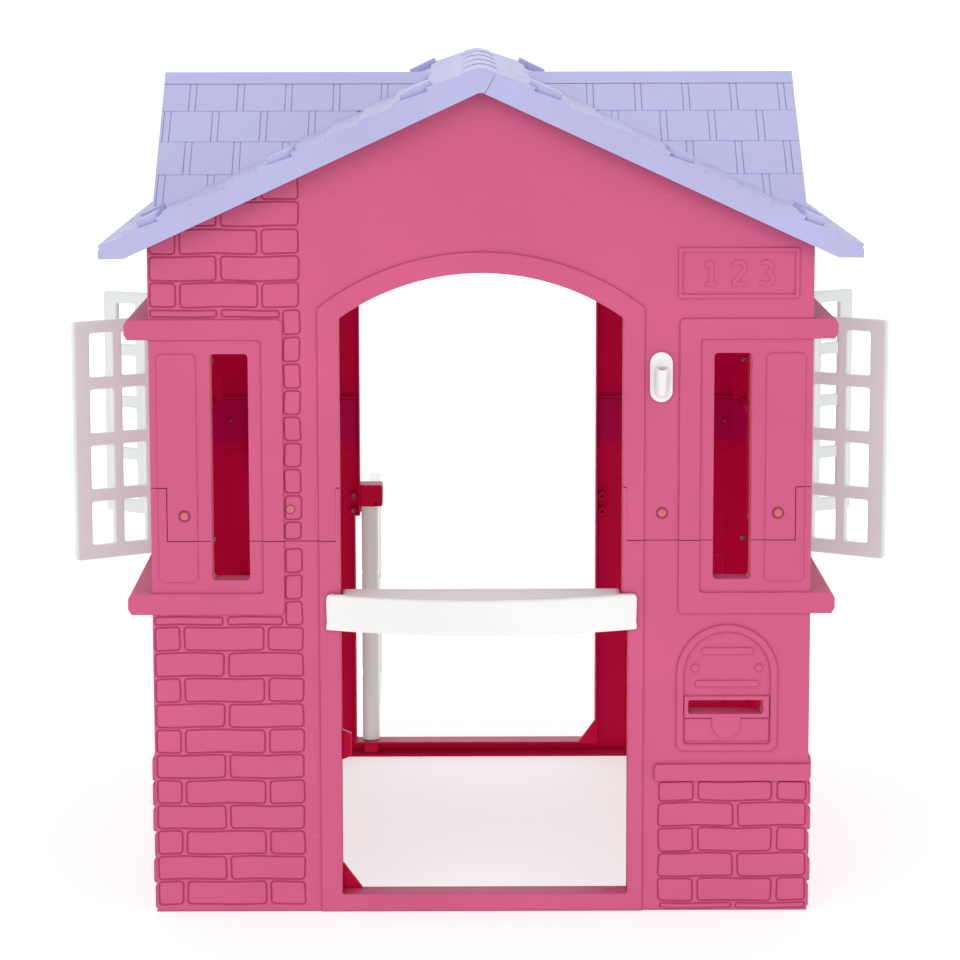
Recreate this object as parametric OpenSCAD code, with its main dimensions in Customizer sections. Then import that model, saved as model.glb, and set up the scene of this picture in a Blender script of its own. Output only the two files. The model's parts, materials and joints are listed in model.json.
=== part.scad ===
// Plastic playhouse: four two-piece walls, a two-piece roof with side gables,
// four lattice shutters, a doorway counter and a hinged half door.
// Millimetres. X runs across the front, +Y goes from front to back, +Z is up.
// The origin is on the floor, at the middle of the four walls.

/* [House] */
// Width over the side walls
house_w = 980; // [960:10:1020]
// Depth over the front and back walls
house_d = 960; // [930:10:1000]
// Depth of a wall panel, from its face to its inner rim
wall_t = 38; // [34:1:42]
// Thickness of the moulded skin
skin = 3; // [2.6:0.2:4]
// Height of the lap seam between lower and upper wall panels
seam_z = 648; // [630:2:660]
// How far the upper panel's tongues lap down over the lower panel
lap_h = 80; // [60:2:90]

/* [Roof] */
// Height of the ridge cap over the floor
crest_z = 1267.5; // [1262:0.5:1269]
// Fall of the main roof per unit of width
slope = 0.477; // [0.46:0.001:0.49]
// Half width of the roof at the eaves
eave_x = 558; // [552:1:580]
// Half length of the roof from front to back
eave_y = 514; // [505:1:530]
// Height of the side gable ridge
side_ridge_z = 1241; // [1225:1:1245]
// Half width of the side gable where it meets the eave slope
side_half = 268; // [240:2:290]
// Where the side gable's end face stands
side_end_x = 503; // [500:1:520]

/* [Doorway] */
// Half width of the doorway
door_hw = 210; // [205:1:214]
// Height of the door sill
sill_h = 27; // [22:1:30]
// Height where the arch springs from the jambs
spring_z = 900; // [880:2:920]
// Height of the crown of the arch
crown_z = 967; // [955:1:975]
// Width of the flat trim around the doorway
trim_w = 31; // [26:1:34]

/* [Windows and shutters] */
// Height of the top of the window sill ledge
ledge_lo = 489; // [480:1:495]
// Height of the underside of the window head ledge
ledge_hi = 869; // [860:1:875]
// How far the side ledges stand out of the side walls
ledge_out = 36; // [32:1:40]
// Half width of the side window
win_hw = 159; // [150:1:165]
// Thickness of a shutter
shutter_t = 11; // [9:1:12]
// Angle that a shutter stands open from closed
shutter_open = 121; // [95:1:165]

/* [Half door] */
// Distance of the hinge axis from the middle of the doorway
door_axis_x = 193; // [190:1:195]
// Radius of the hinge barrel
barrel_r = 15; // [12:1:15]
// Length of the door leaf from the hinge axis
door_len = 385; // [360:5:386]
// Thickness of the door leaf
door_t = 20; // [16:1:22]
// Angle that the half door stands open from closed
door_open = 90; // [0:5:90]

/* [Counter] */
// Height of the counter top
counter_z = 489; // [480:1:495]
// Depth of the counter's front lip
counter_lip = 54; // [45:1:60]
// How far the bowed front stands out of the wall at the middle
counter_bow = 55; // [40:1:65]

/* [Hidden] */
$fn = 48;
hw = house_w / 2;
hd = house_d / 2;
vt = skin * sqrt(1 + slope * slope);
ridge_z = 1270.7 - 1267.5 + crest_z;
a_roof = atan(slope);
trim_h = 3;
pin_r = 4;
run = 0.05;
axis_out = 14;
shutter_axis_y = win_hw - 6;
door_axis_t = 15;
lap_z = seam_z - lap_h;
side_slope = (side_ridge_z - (ridge_z - slope * side_end_x)) / side_half;
slot_x1 = 344;
slot_x2 = 400;
slot_z1 = 509;
slot_z2 = 848;
screw_x = 221;
screw_z = [447, 474];
hoods = [[69, 113], [269, 306], [hw - 23, hw + 7]];
panel_screws = [[-440, 606], [-283, 616], [268, 609], [440, 609]];
corner_z = [110, 400, 720, 960];

pink = [0.83, 0.38, 0.54];
lilac = [0.72, 0.73, 0.90];
white = [0.94, 0.94, 0.93];
steel = [0.86, 0.45, 0.47];

// ---------- height functions ----------
function top_z(x) = ridge_z - slope * abs(x);
function under_z(x) = min(top_z(x) - vt, crest_z - 4.7);
// crown of the ridge cap, a shallow arc over the apex
cap_hw = 24;
cap_rise = crest_z - top_z(cap_hw);
cap_r = (cap_hw * cap_hw + cap_rise * cap_rise) / (2 * cap_rise);
function cap_z(x) = crest_z - cap_r + sqrt(cap_r * cap_r - x * x);
flat_x = (ridge_z - vt - crest_z + 4.7) / slope;

// ---------- helpers ----------
// extrudes a face drawing (x across, y up) from depth y0 to depth y1
module ext(y0, y1) { translate([0, y1, 0]) rotate([90, 0, 0]) linear_extrude(y1 - y0) children(); }
module box(a, b) { translate(a) cube([b[0] - a[0], b[1] - a[1], b[2] - a[2]]); }
module rect(x1, z1, x2, z2) { translate([x1, z1]) square([x2 - x1, z2 - z1]); }
// a rectangle with round corners
module rrect(x1, z1, x2, z2, r) {
    rect(x1 + r, z1, x2 - r, z2);
    rect(x1, z1 + r, x2, z2 - r);
    for (x = [x1 + r, x2 - r], z = [z1 + r, z2 - r]) translate([x, z]) circle(r);
}
// a cylinder along Y from depth y0 to y1
module ycyl(x, z, y0, y1, r) { translate([x, y1, z]) rotate([90, 0, 0]) cylinder(h = y1 - y0, r = r); }

// shelf behind the lap seam, a hair behind the tongues that lap over it
module lap_shelf(w) {
    ext(skin + 0.4, skin + 2.8) difference() { rect(-w + 2, lap_z - 12, w - 2, seam_z); children(); }
    ext(skin - 0.5, skin + 1) difference() { rect(-w + 2, lap_z - 12, w - 2, lap_z - 1); children(); }
}

// ---------- front and back walls ----------
module gable2d(m) {
    mz = m * sqrt(1 + slope * slope);
    x = hw - m;
    polygon([[-x, m], [x, m], [x, under_z(x) - 0.1 - mz], [flat_x, crest_z - 4.8 - mz],
             [-flat_x, crest_z - 4.8 - mz], [-x, under_z(x) - 0.1 - mz]]);
}
// the doorway, grown by m all round; the jamb on the hinge side is rebated below the counter
module door2d(m) {
    rise = crown_z - spring_z;
    r = (door_hw * door_hw + rise * rise) / (2 * rise);
    rect(-door_hw - m, sill_h - m, door_hw + m, spring_z);
    rect(door_hw - 5, sill_h - m, door_hw + 9 + m, 440 + m);
    intersection() {
        translate([0, crown_z - r]) circle(r + m, $fn = 180);
        rect(-door_hw - m, spring_z - 1, door_hw + m, crown_z + m + 1);
    }
}
module trim2d() {
    rise = crown_z - spring_z;
    r = (door_hw * door_hw + rise * rise) / (2 * rise);
    rect(-door_hw - trim_w, 0, door_hw + trim_w, spring_z + 12);
    intersection() {
        translate([0, crown_z - r]) circle(r + trim_w, $fn = 180);
        rect(-door_hw - trim_w, spring_z + 11, door_hw + trim_w, crown_z + trim_w + 1);
    }
}
module slots2d(m) {
    rrect(-slot_x2 - m, slot_z1 - m, -slot_x1 + m, slot_z2 + m, 6);
    rrect(slot_x1 - m, slot_z1 - m, slot_x2 + m, slot_z2 + m, 6);
}
module mail2d(m) { rect(309 - m, 304 - m, 421 + m, 325 + m); }
module arch_panel2d(x, z1, z2, w) {
    rect(x - w / 2, z1, x + w / 2, z2 - w / 2);
    translate([x, z2 - w / 2]) circle(w / 2);
}
// raised work on the face of a front or back wall
module end_relief() {
    ext(-trim_h, 1) trim2d();
    for (s = [-1, 1]) {
        a = s > 0 ? 293 : -324;
        b = s > 0 ? 324 : -293;
        ext(-trim_h, 1) rect(a, 457, b, 899);
        ext(-trim_h, 1) rect(s > 0 ? 293 : -hw, ledge_hi, s > 0 ? hw : -293, ledge_hi + 30);
        ext(-trim_h, 1) rect(s > 0 ? 293 : -hw, ledge_lo - 32, s > 0 ? hw : -293, ledge_lo);
        ext(-2, 1) rrect(s > 0 ? 421 : -479, 506, s > 0 ? 479 : -421, 848, 6);
    }
    // number plate frame
    ext(-2, 1) difference() { rect(290, 929, 468, 1003.5); rect(296, 935, 462, 997.5); }
    // mail panel
    ext(-3, 1) difference() { arch_panel2d(366.7, 246, 441, 153); arch_panel2d(366.7, 258, 429, 129); }
    ext(-3, 1) difference() { rect(303, 298, 430, 331); mail2d(0); }
    ext(-2, 1) rect(328, 394, 406, 405);
    ext(-2, 1) rect(319, 345, 415, 355);
    ext(-2, 1) rect(303, 262, 430, 296);
    // plinth ledge at the right
    ext(-5, 1) rect(259, 201, hw, 227);
}
module end_wall() {
    difference() {
        union() {
            difference() {
                ext(0, wall_t) gable2d(0);
                ext(skin, wall_t + 1) difference() {
                    gable2d(skin);
                    door2d(skin);
                    slots2d(skin);
                    mail2d(3);
                    rect(-hw, 0, hw, skin + 2);
                }
            }
            // ears that carry the ledges round the corner
            for (s = [-1, 1]) {
                box([s > 0 ? hw - 1 : -hw - ledge_out, -trim_h, ledge_hi], [s > 0 ? hw + ledge_out : -hw + 1, wall_t, ledge_hi + 30]);
                box([s > 0 ? hw - 1 : -hw - ledge_out, -trim_h, ledge_lo - 32], [s > 0 ? hw + ledge_out : -hw + 1, wall_t, ledge_lo]);
            }
            end_relief();
            // corner posts that take the corner screws
            for (s = [-1, 1]) box([s > 0 ? hw - wall_t : -hw + 1, wall_t - skin, 1], [s > 0 ? hw - 1 : -hw + wall_t, wall_t, under_z(hw) - 6]);
            // shelf behind the lap seam
            lap_shelf(hw) { door2d(0); slots2d(0); }
            // inner flange along the seam
            ext(skin - 0.5, wall_t - 12) difference() {
                rect(-hw + 2, seam_z - 4, hw - 2, seam_z + 4);
                door2d(0);
                slots2d(0);
            }
            // bosses for the counter and bracket screws
            for (s = [-1, 1], z = screw_z) ycyl(s * screw_x, z, 1, wall_t, 6.5);
            // bosses behind the panel screws
            for (p = panel_screws) ycyl(p[0], p[1], skin + 0.4, 20, 6);
            // sill block that holds the door's lower pin
            box([door_axis_x - 13, 1, 1], [door_axis_x + 13, wall_t - 4, sill_h]);
            // stop and corner gusset on the latch side
            box([-door_hw - 1, 28, 229], [-door_hw + 14, wall_t, 272]);
            ext(30, wall_t) polygon([[-door_hw - 1, sill_h - 1], [-181, sill_h - 1], [-door_hw - 1, 66]]);
        }
        ext(-8, wall_t + 1) { door2d_minus_stops(); slots2d(0); mail2d(0); }
        for (s = [-1, 1], z = screw_z) {
            ycyl(s * screw_x, z, -8, wall_t + 1, 2.5);
            ycyl(s * screw_x, z, 30, wall_t + 1, 5.2);
        }
        for (p = panel_screws) ycyl(p[0], p[1], -8, 24, 2.5);
        for (s = [-1, 1], z = corner_z) ycyl(s * (hw - wall_t / 2), z, wall_t - 8, wall_t + 1, 2.5);
        translate([door_axis_x, door_axis_t, sill_h - 18]) cylinder(h = 20, r = 6);
        // peg holes of the flag holder
        for (z = [788, 838]) ycyl(265.7, z, -8, 10, 3.55);
        intersection() {
            // room for the counter's end tabs in the jambs
            for (s = [-1, 1]) box([s > 0 ? door_hw - 1 : -door_hw - skin - 1, 12, 452], [s > 0 ? door_hw + skin + 1 : -door_hw + 1, 30, 470]);
            box([-house_w, 0, 0], [house_w, wall_t, 2000]);
        }
    }
}
// the doorway cut, which leaves the stop and gusset standing
module door2d_minus_stops() {
    difference() {
        door2d(0);
        rect(-door_hw - 1, 229, -door_hw + 14, 272);
        polygon([[-door_hw - 1, sill_h - 1], [-181, sill_h - 1], [-door_hw - 1, 66]]);
    }
}
// cuts the stop and gusset back to their own depth
module stop_clear() {
    box([-door_hw, -8, 229], [-door_hw + 20, 28, 272]);
    box([-door_hw, -8, sill_h], [-160, 30, 70]);
}
// everything that belongs to the upper panel: above the seam, and the tongues below it
module end_upper_zone(g) {
    box([-hw - 60, -12, seam_z + g], [hw + 60, wall_t + 2, 1400]);
    for (s = [-1, 1]) box([s > 0 ? 216 + g : -466 + g, -12, lap_z + g], [s > 0 ? 466 - g : -216 - g, skin - g, seam_z + 1]);
}
module hood_tab(x1, x2) {
    for (s = [0, 1]) mirror([s, 0, 0])
        translate([x1, 0, top_z(x1)]) rotate([0, a_roof, 0])
            box([5, 2, -10], [(x2 - x1) / cos(a_roof) - 5, 31, 5]);
}
module end_lower() {
    color(pink) translate([0, -hd, 0]) difference() {
        end_wall();
        stop_clear();
        end_upper_zone(-0.2);
    }
}
module end_upper() {
    color(pink) translate([0, -hd, 0]) union() {
        intersection() {
            end_wall();
            end_upper_zone(0.2);
        }
        for (h = hoods) hood_tab(h[0], h[1]);
    }
}
module front_wall_lower() { end_lower(); }
module front_wall_upper() { end_upper(); }
module back_wall_lower() { rotate([0, 0, 180]) end_lower(); }
module back_wall_upper() { rotate([0, 0, 180]) end_upper(); }

// ---------- side walls ----------
side_hw = hd - wall_t - 0.4;
side_lap = [[-420, -230], [230, 420]];
side_screws = [[-390, 608], [-262, 608], [262, 608], [390, 608]];
module win2d(m) { rrect(-win_hw - m, ledge_lo - m, win_hw + m, ledge_hi + m, 6); }
module side_outline2d(m) { rect(-side_hw + m, m, side_hw - m, top_z(hw) + 30 - m); }
module side_wall() {
    difference() {
        union() {
            difference() {
                ext(0, wall_t) side_outline2d(0);
                ext(skin, wall_t + 1) difference() {
                    rect(-side_hw + skin, skin + 2, side_hw - skin, under_z(hw) - skin - 2);
                    win2d(skin);
                }
            }
            // ledges over and under the window, hollow behind
            for (z = [ledge_hi, ledge_lo - 32]) difference() {
                box([-side_hw, -ledge_out, z], [side_hw, 1, z + (z == ledge_hi ? 30 : 32)]);
                for (s = [-1, 1]) box([s > 0 ? 175 : -side_hw + 4, -ledge_out + 4, z + 4], [s > 0 ? side_hw - 4 : -175, 2, z + 26]);
            }
            // window frame
            ext(-trim_h, 1) difference() { rect(-win_hw - 31, ledge_lo - 2, win_hw + 31, ledge_hi + 2); win2d(0); }
            // raised plinth course
            ext(-3, 1) rect(-side_hw, 0, side_hw, 243);
            lap_shelf(side_hw) win2d(0);
            ext(skin - 0.5, wall_t - 12) difference() { rect(-side_hw + 2, seam_z - 4, side_hw - 2, seam_z + 4); win2d(0); }
            for (p = side_screws) ycyl(p[0], p[1], skin + 0.4, 20, 6);
        }
        ext(-3.5, wall_t + 1) win2d(0);
        for (s = [-1, 1]) {
            translate([s * shutter_axis_y, -axis_out, ledge_hi - 1]) cylinder(h = 14, r = pin_r + run);
            translate([s * shutter_axis_y, -axis_out, ledge_lo - 13]) cylinder(h = 14, r = pin_r + run);
        }
        for (p = side_screws) ycyl(p[0], p[1], -8, 24, 2.5);
        for (s = [-1, 1], z = corner_z) ycyl2(s, z);
    }
}
// corner screw holes run along the wall's own length
module ycyl2(s, z) { translate([s * (side_hw - 9), wall_t / 2, z]) rotate([0, 90, 0]) translate([0, 0, -10]) cylinder(h = 22, r = 2.5); }
module side_upper_zone(g) {
    box([-600, -60, seam_z + g], [600, wall_t + 2, 1400]);
    for (l = side_lap) box([l[0] + g, -12, lap_z + g], [l[1] - g, skin - g, seam_z + 1]);
}
module side_place(s) { rotate([0, 0, s * 90]) translate([0, -hw, 0]) children(); }
module side_lower(s) { color(pink) side_place(s) difference() { side_wall(); side_upper_zone(-0.2); } }
module side_upper(s) {
    color(pink) union() {
        intersection() {
            side_place(s) intersection() { side_wall(); side_upper_zone(0.2); }
            translate([0, eave_y + 1, 0]) rotate([90, 0, 0]) linear_extrude(2 * eave_y + 2)
                polygon([[-560, 0], [560, 0], [560, under_z(560) - 0.1], [flat_x, crest_z - 4.8], [-flat_x, crest_z - 4.8], [-560, under_z(560) - 0.1]]);
        }
        for (m = [0, 1]) mirror([0, m, 0]) scale_side(s)
            translate([hw - 14, side_half + 4, top_z(hw - 14)]) rotate([0, a_roof, 0]) box([4, 5, -9], [13, 19, 5]);
    }
}
module scale_side(s) { if (s > 0) children(); else mirror([1, 0, 0]) children(); }
module left_wall_lower() { side_lower(-1); }
module left_wall_upper() { side_upper(-1); }
module right_wall_lower() { side_lower(1); }
module right_wall_upper() { side_upper(1); }

// ---------- roof ----------
// cross-section of the roof: top skin with its ridge cap, and the gable board below it
module roof_face2d() {
    polygon(concat([[-eave_x, 991.5], [-eave_x, top_z(eave_x)]],
                   [for (i = [0:12]) let (x = -cap_hw + i * cap_hw / 6) [x, cap_z(x)]],
                   [[eave_x, top_z(eave_x)], [eave_x, 991.5], [eave_x - 37, 991.8], [0, crest_z - 34.5], [37 - eave_x, 991.8]]));
}
module roof_hollow2d() {
    x = eave_x - skin;
    polygon([[-x, 900], [-x, under_z(x)], [-flat_x, crest_z - 4.7], [flat_x, crest_z - 4.7], [x, under_z(x)], [x, 900]]);
}
module side_gable(h, x1, x2) {
    // triangle across Y, extruded along X
    z = side_ridge_z - h;
    b = (z - 1018) / side_slope;
    translate([x1, 0, 0]) rotate([90, 0, 90]) linear_extrude(x2 - x1) polygon([[-b, 1018], [b, 1018], [0, z]]);
}
svt = skin * sqrt(1 + side_slope * side_slope);
module hood(x1, x2, y1, y2, h, grow) {
    l = (x2 - x1) / cos(a_roof);
    translate([x1, 0, top_z(x1)]) rotate([0, a_roof, 0])
        box([grow, y1 + grow, grow > 0 ? -9 : -3], [l - grow, y2 - grow, h - grow]);
}
module hoods_all(grow) {
    for (f = [0, 1]) mirror([0, f, 0]) {
        for (p = hoods) hood(p[0], p[1], -508, -445, 10, grow);
        hood(hw - 14, hw + 22, side_half + 4, side_half + 28, 10, grow);
    }
}
// right half of the roof; the seam leans to the right of the ridge cap
module roof_half_shell() {
    difference() {
        union() {
            translate([0, eave_y, 0]) rotate([90, 0, 0]) linear_extrude(2 * eave_y) roof_face2d();
            difference() { side_gable(0, 0, side_end_x); side_gable(svt, -1, side_end_x - skin); }
            mirror([1, 0, 0]) difference() { side_gable(0, 0, side_end_x); side_gable(svt, -1, side_end_x - skin); }
            hoods_all(0);
            mirror([1, 0, 0]) hoods_all(0);
        }
        translate([0, eave_y - skin, 0]) rotate([90, 0, 0]) linear_extrude(2 * (eave_y - skin)) roof_hollow2d();
        side_gable(svt, -1, side_end_x - skin);
        mirror([1, 0, 0]) side_gable(svt, -1, side_end_x - skin);
        hoods_all(2.5);
        mirror([1, 0, 0]) hoods_all(2.5);
    }
}
module seam_side(g) {
    translate([0, eave_y + 5, 0]) rotate([90, 0, 0]) linear_extrude(2 * eave_y + 10)
        polygon([[5 + g, 1225], [22 + g, 1258], [26 + g, 1280], [700, 1280], [700, 900], [5 + g, 900]]);
}
module roof_right() { color(lilac) intersection() { roof_half_shell(); seam_side(0.2); } }
module roof_left() { color(lilac) difference() { roof_half_shell(); seam_side(-0.2); } }

// ---------- counter ----------
counter_hw = 231;
function bow_y(x) = -hd - trim_h - 6 - (counter_bow - 9) * (1 - pow(x / counter_hw, 2));
module counter2d(m) {
    n = 16;
    polygon(concat([for (i = [0:n]) let (x = (counter_hw - m) * (-1 + 2 * i / n)) [x, bow_y(x) + m]],
                   [[counter_hw - m, -hd - trim_h - 0.4 - m * 0], [door_hw - 1.5 - m, -hd - trim_h - 0.4], [door_hw - 1.5 - m, -hd + wall_t - m],
                    [-door_hw + 1.5 + m, -hd + wall_t - m], [-door_hw + 1.5 + m, -hd - trim_h - 0.4], [-counter_hw + m, -hd - trim_h - 0.4 - m * 0]]));
}
module counter_shelf() {
    color(white) difference() {
        union() {
            difference() {
                translate([0, 0, counter_z - counter_lip]) linear_extrude(counter_lip) counter2d(0);
                translate([0, 0, counter_z - counter_lip - 1]) linear_extrude(counter_lip - 3) intersection() {
                    counter2d(4);
                    translate([-400, -700]) square([800, 700 - hd + wall_t - 4]);
                }
            }
            // lugs behind the lip that take the screws
            for (s = [-1, 1], z = screw_z) translate([0, -hd, 0]) ycyl(s * screw_x, z, -trim_h - 0.4 - 6.5, -trim_h - 0.4, 6.5);
            // webs under the top
            for (x = [-120, 0, 120]) box([x - 1.5, bow_y(x) + 3, counter_z - 30], [x + 1.5, -hd + wall_t - 2, counter_z - 2]);
            // end tabs in the jambs
            for (s = [-1, 1]) box([s > 0 ? door_hw - 3 : -door_hw - skin, -hd + 13, 453], [s > 0 ? door_hw + skin : -door_hw + 3, -hd + 29, 469]);
        }
        for (s = [-1, 1], z = screw_z) translate([0, -hd, 0]) ycyl(s * screw_x, z, -trim_h - 7.5, 0, 2.5);
    }
}
module pan_screw(x, z, y_head, y_end, dir, r = 5, h = 3) {
    // head against y_head, shank running to y_end
    if (dir > 0) { ycyl(x, z, y_head - h, y_head, r); ycyl(x, z, y_head - 0.5, y_end, 2.45); }
    else { ycyl(x, z, y_head, y_head + h, r); ycyl(x, z, y_end, y_head + 0.5, 2.45); }
}
module counter_screws() { color(steel) translate([0, -hd, 0]) for (s = [-1, 1], z = screw_z) pan_screw(s * screw_x, z, 30, -8, -1); }

// ---------- flag holder ----------
flag_tilt = 22;
module flag_holder() {
    color(white) translate([265.7, -hd, 0]) difference() {
        union() {
            ext(-4, 0) { rect(-16.8, 792, 16.8, 833); translate([0, 792]) circle(16.8); translate([0, 833]) circle(16.8); }
            for (z = [788, 838]) ycyl(0, z, -1, 7, 3.5);
            intersection() {
                translate([0, -4, 790]) rotate([flag_tilt, 0, 0]) cylinder(h = 42, r = 9.25);
                box([-20, -60, 770], [20, -3, 850]);
            }
        }
        translate([0, -4, 790]) rotate([flag_tilt, 0, 0]) translate([0, 0, 14]) cylinder(h = 60, r = 6);
    }
}

// ---------- half door ----------
dz0 = sill_h + 1.5;
dz1 = 455;
module at_hinge() { translate([-door_axis_x, hd - door_axis_t, 0]) children(); }
module door_bracket() {
    color(pink) difference() {
        union() {
            box([-door_hw + 0.3, hd - wall_t + 2, 456.5], [-door_hw + 40, hd + 9, 495]);
            box([-door_hw - 26, hd + trim_h + 0.3, 440], [-door_hw + 2, hd + 9, 495]);
        }
        at_hinge() translate([0, 0, 450]) cylinder(h = 22, r = 6);
        for (z = screw_z) translate([0, hd, 0]) ycyl(-screw_x, z, 0, 8.5, 2.5);
    }
}
module half_door() {
    color(white) at_hinge() rotate([0, 0, door_open]) difference() {
        union() {
            translate([0, 0, dz0]) cylinder(h = dz1 - dz0, r = barrel_r);
            box([0, -door_t / 2, dz0 + 4], [door_len, door_t / 2, dz1 - 3]);
            translate([0, 0, sill_h - 15]) cylinder(h = 20, r = 6 - run);
            translate([0, 0, dz1 - 2]) cylinder(h = 15, r = 6 - run);
        }
        // recessed panels on both faces
        for (s = [-1, 1], z = [[dz0 + 44, 225], [255, dz1 - 43]])
            box([45, s > 0 ? door_t / 2 - 4 : -door_t / 2 - 1, z[0]], [door_len - 40, s > 0 ? door_t / 2 + 1 : -door_t / 2 + 4, z[1]]);
        // the moulding is hollow from below
        box([24, -door_t / 2 + 7, dz0], [door_len - 8, door_t / 2 - 7, dz1 - 12]);
    }
}
module bracket_screws() { color(steel) rotate([0, 0, 180]) translate([0, -hd, 0]) for (z = screw_z) pan_screw(screw_x, z, 30, -8, -1); }

// ---------- shutters ----------
// drawn closed: hinge axis at the origin, leaf along +X
module shutter_leaf() {
    z0 = ledge_lo + 1.5;
    z1 = ledge_hi - 1.5;
    w = shutter_axis_y - 2;
    pane_h = (z1 - z0 - 42.5 - 3 * 19.5) / 4;
    difference() {
        union() {
            box([-6, -shutter_t / 2, z0], [w, shutter_t / 2, z1]);
            translate([0, 0, z0 - 11]) cylinder(h = z1 - z0 + 22, r = pin_r);
        }
        for (c = [w - 28 - 38, w - 28 - 38 - 17 - 38], i = [0:3])
            box([c, -20, z0 + 22.5 + i * (pane_h + 19.5)], [c + 38, 20, z0 + 22.5 + i * (pane_h + 19.5) + pane_h]);
    }
}
// s = side (1 right, -1 left), f = 1 for the front leaf, -1 for the rear leaf
module shutter(s, f) {
    color(white) translate([s * (hw + axis_out), -f * shutter_axis_y, 0])
        rotate([0, 0, f > 0 ? 90 - s * shutter_open : -90 + s * shutter_open]) shutter_leaf();
}
module shutter_front_left() { shutter(-1, 1); }
module shutter_rear_left() { shutter(-1, -1); }
module shutter_front_right() { shutter(1, 1); }
module shutter_rear_right() { shutter(1, -1); }

// ---------- fasteners ----------
module end_screws() { translate([0, -hd, 0]) for (p = panel_screws) pan_screw(p[0], p[1], 0 - relief_at(p[0]), 18, 1, 7.2, 2); }
// thickness of raised work under a screw head
function relief_at(x) = abs(x) > 420 && abs(x) < 480 ? 2 : 0;
module side_wall_screws(s) { side_place(s) for (p = side_screws) pan_screw(p[0], p[1], 0, 18, 1, 7.2, 2); }
module front_panel_screws() { color(steel) end_screws(); }
module back_panel_screws() { color(steel) rotate([0, 0, 180]) end_screws(); }
module left_panel_screws() { color(steel) side_wall_screws(-1); }
module right_panel_screws() { color(steel) side_wall_screws(1); }
module corner_screws() {
    color(steel) for (s = [-1, 1], f = [-1, 1], z = corner_z)
        translate([s * (hw - wall_t / 2), f * (side_hw - skin), z]) rotate([f > 0 ? -90 : 90, 0, 0]) {
            translate([0, 0, -3]) cylinder(h = 3, r = 5);
            translate([0, 0, -0.5]) cylinder(h = 16, r = 2.45);
        }
}

front_wall_lower();
front_wall_upper();
back_wall_lower();
back_wall_upper();
left_wall_lower();
left_wall_upper();
right_wall_lower();
right_wall_upper();
roof_left();
roof_right();
counter_shelf();
flag_holder();
door_bracket();
half_door();
shutter_front_left();
shutter_rear_left();
shutter_front_right();
shutter_rear_right();
front_panel_screws();
back_panel_screws();
left_panel_screws();
right_panel_screws();
corner_screws();
counter_screws();
bracket_screws();
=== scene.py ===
import json
import math
import random

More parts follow.
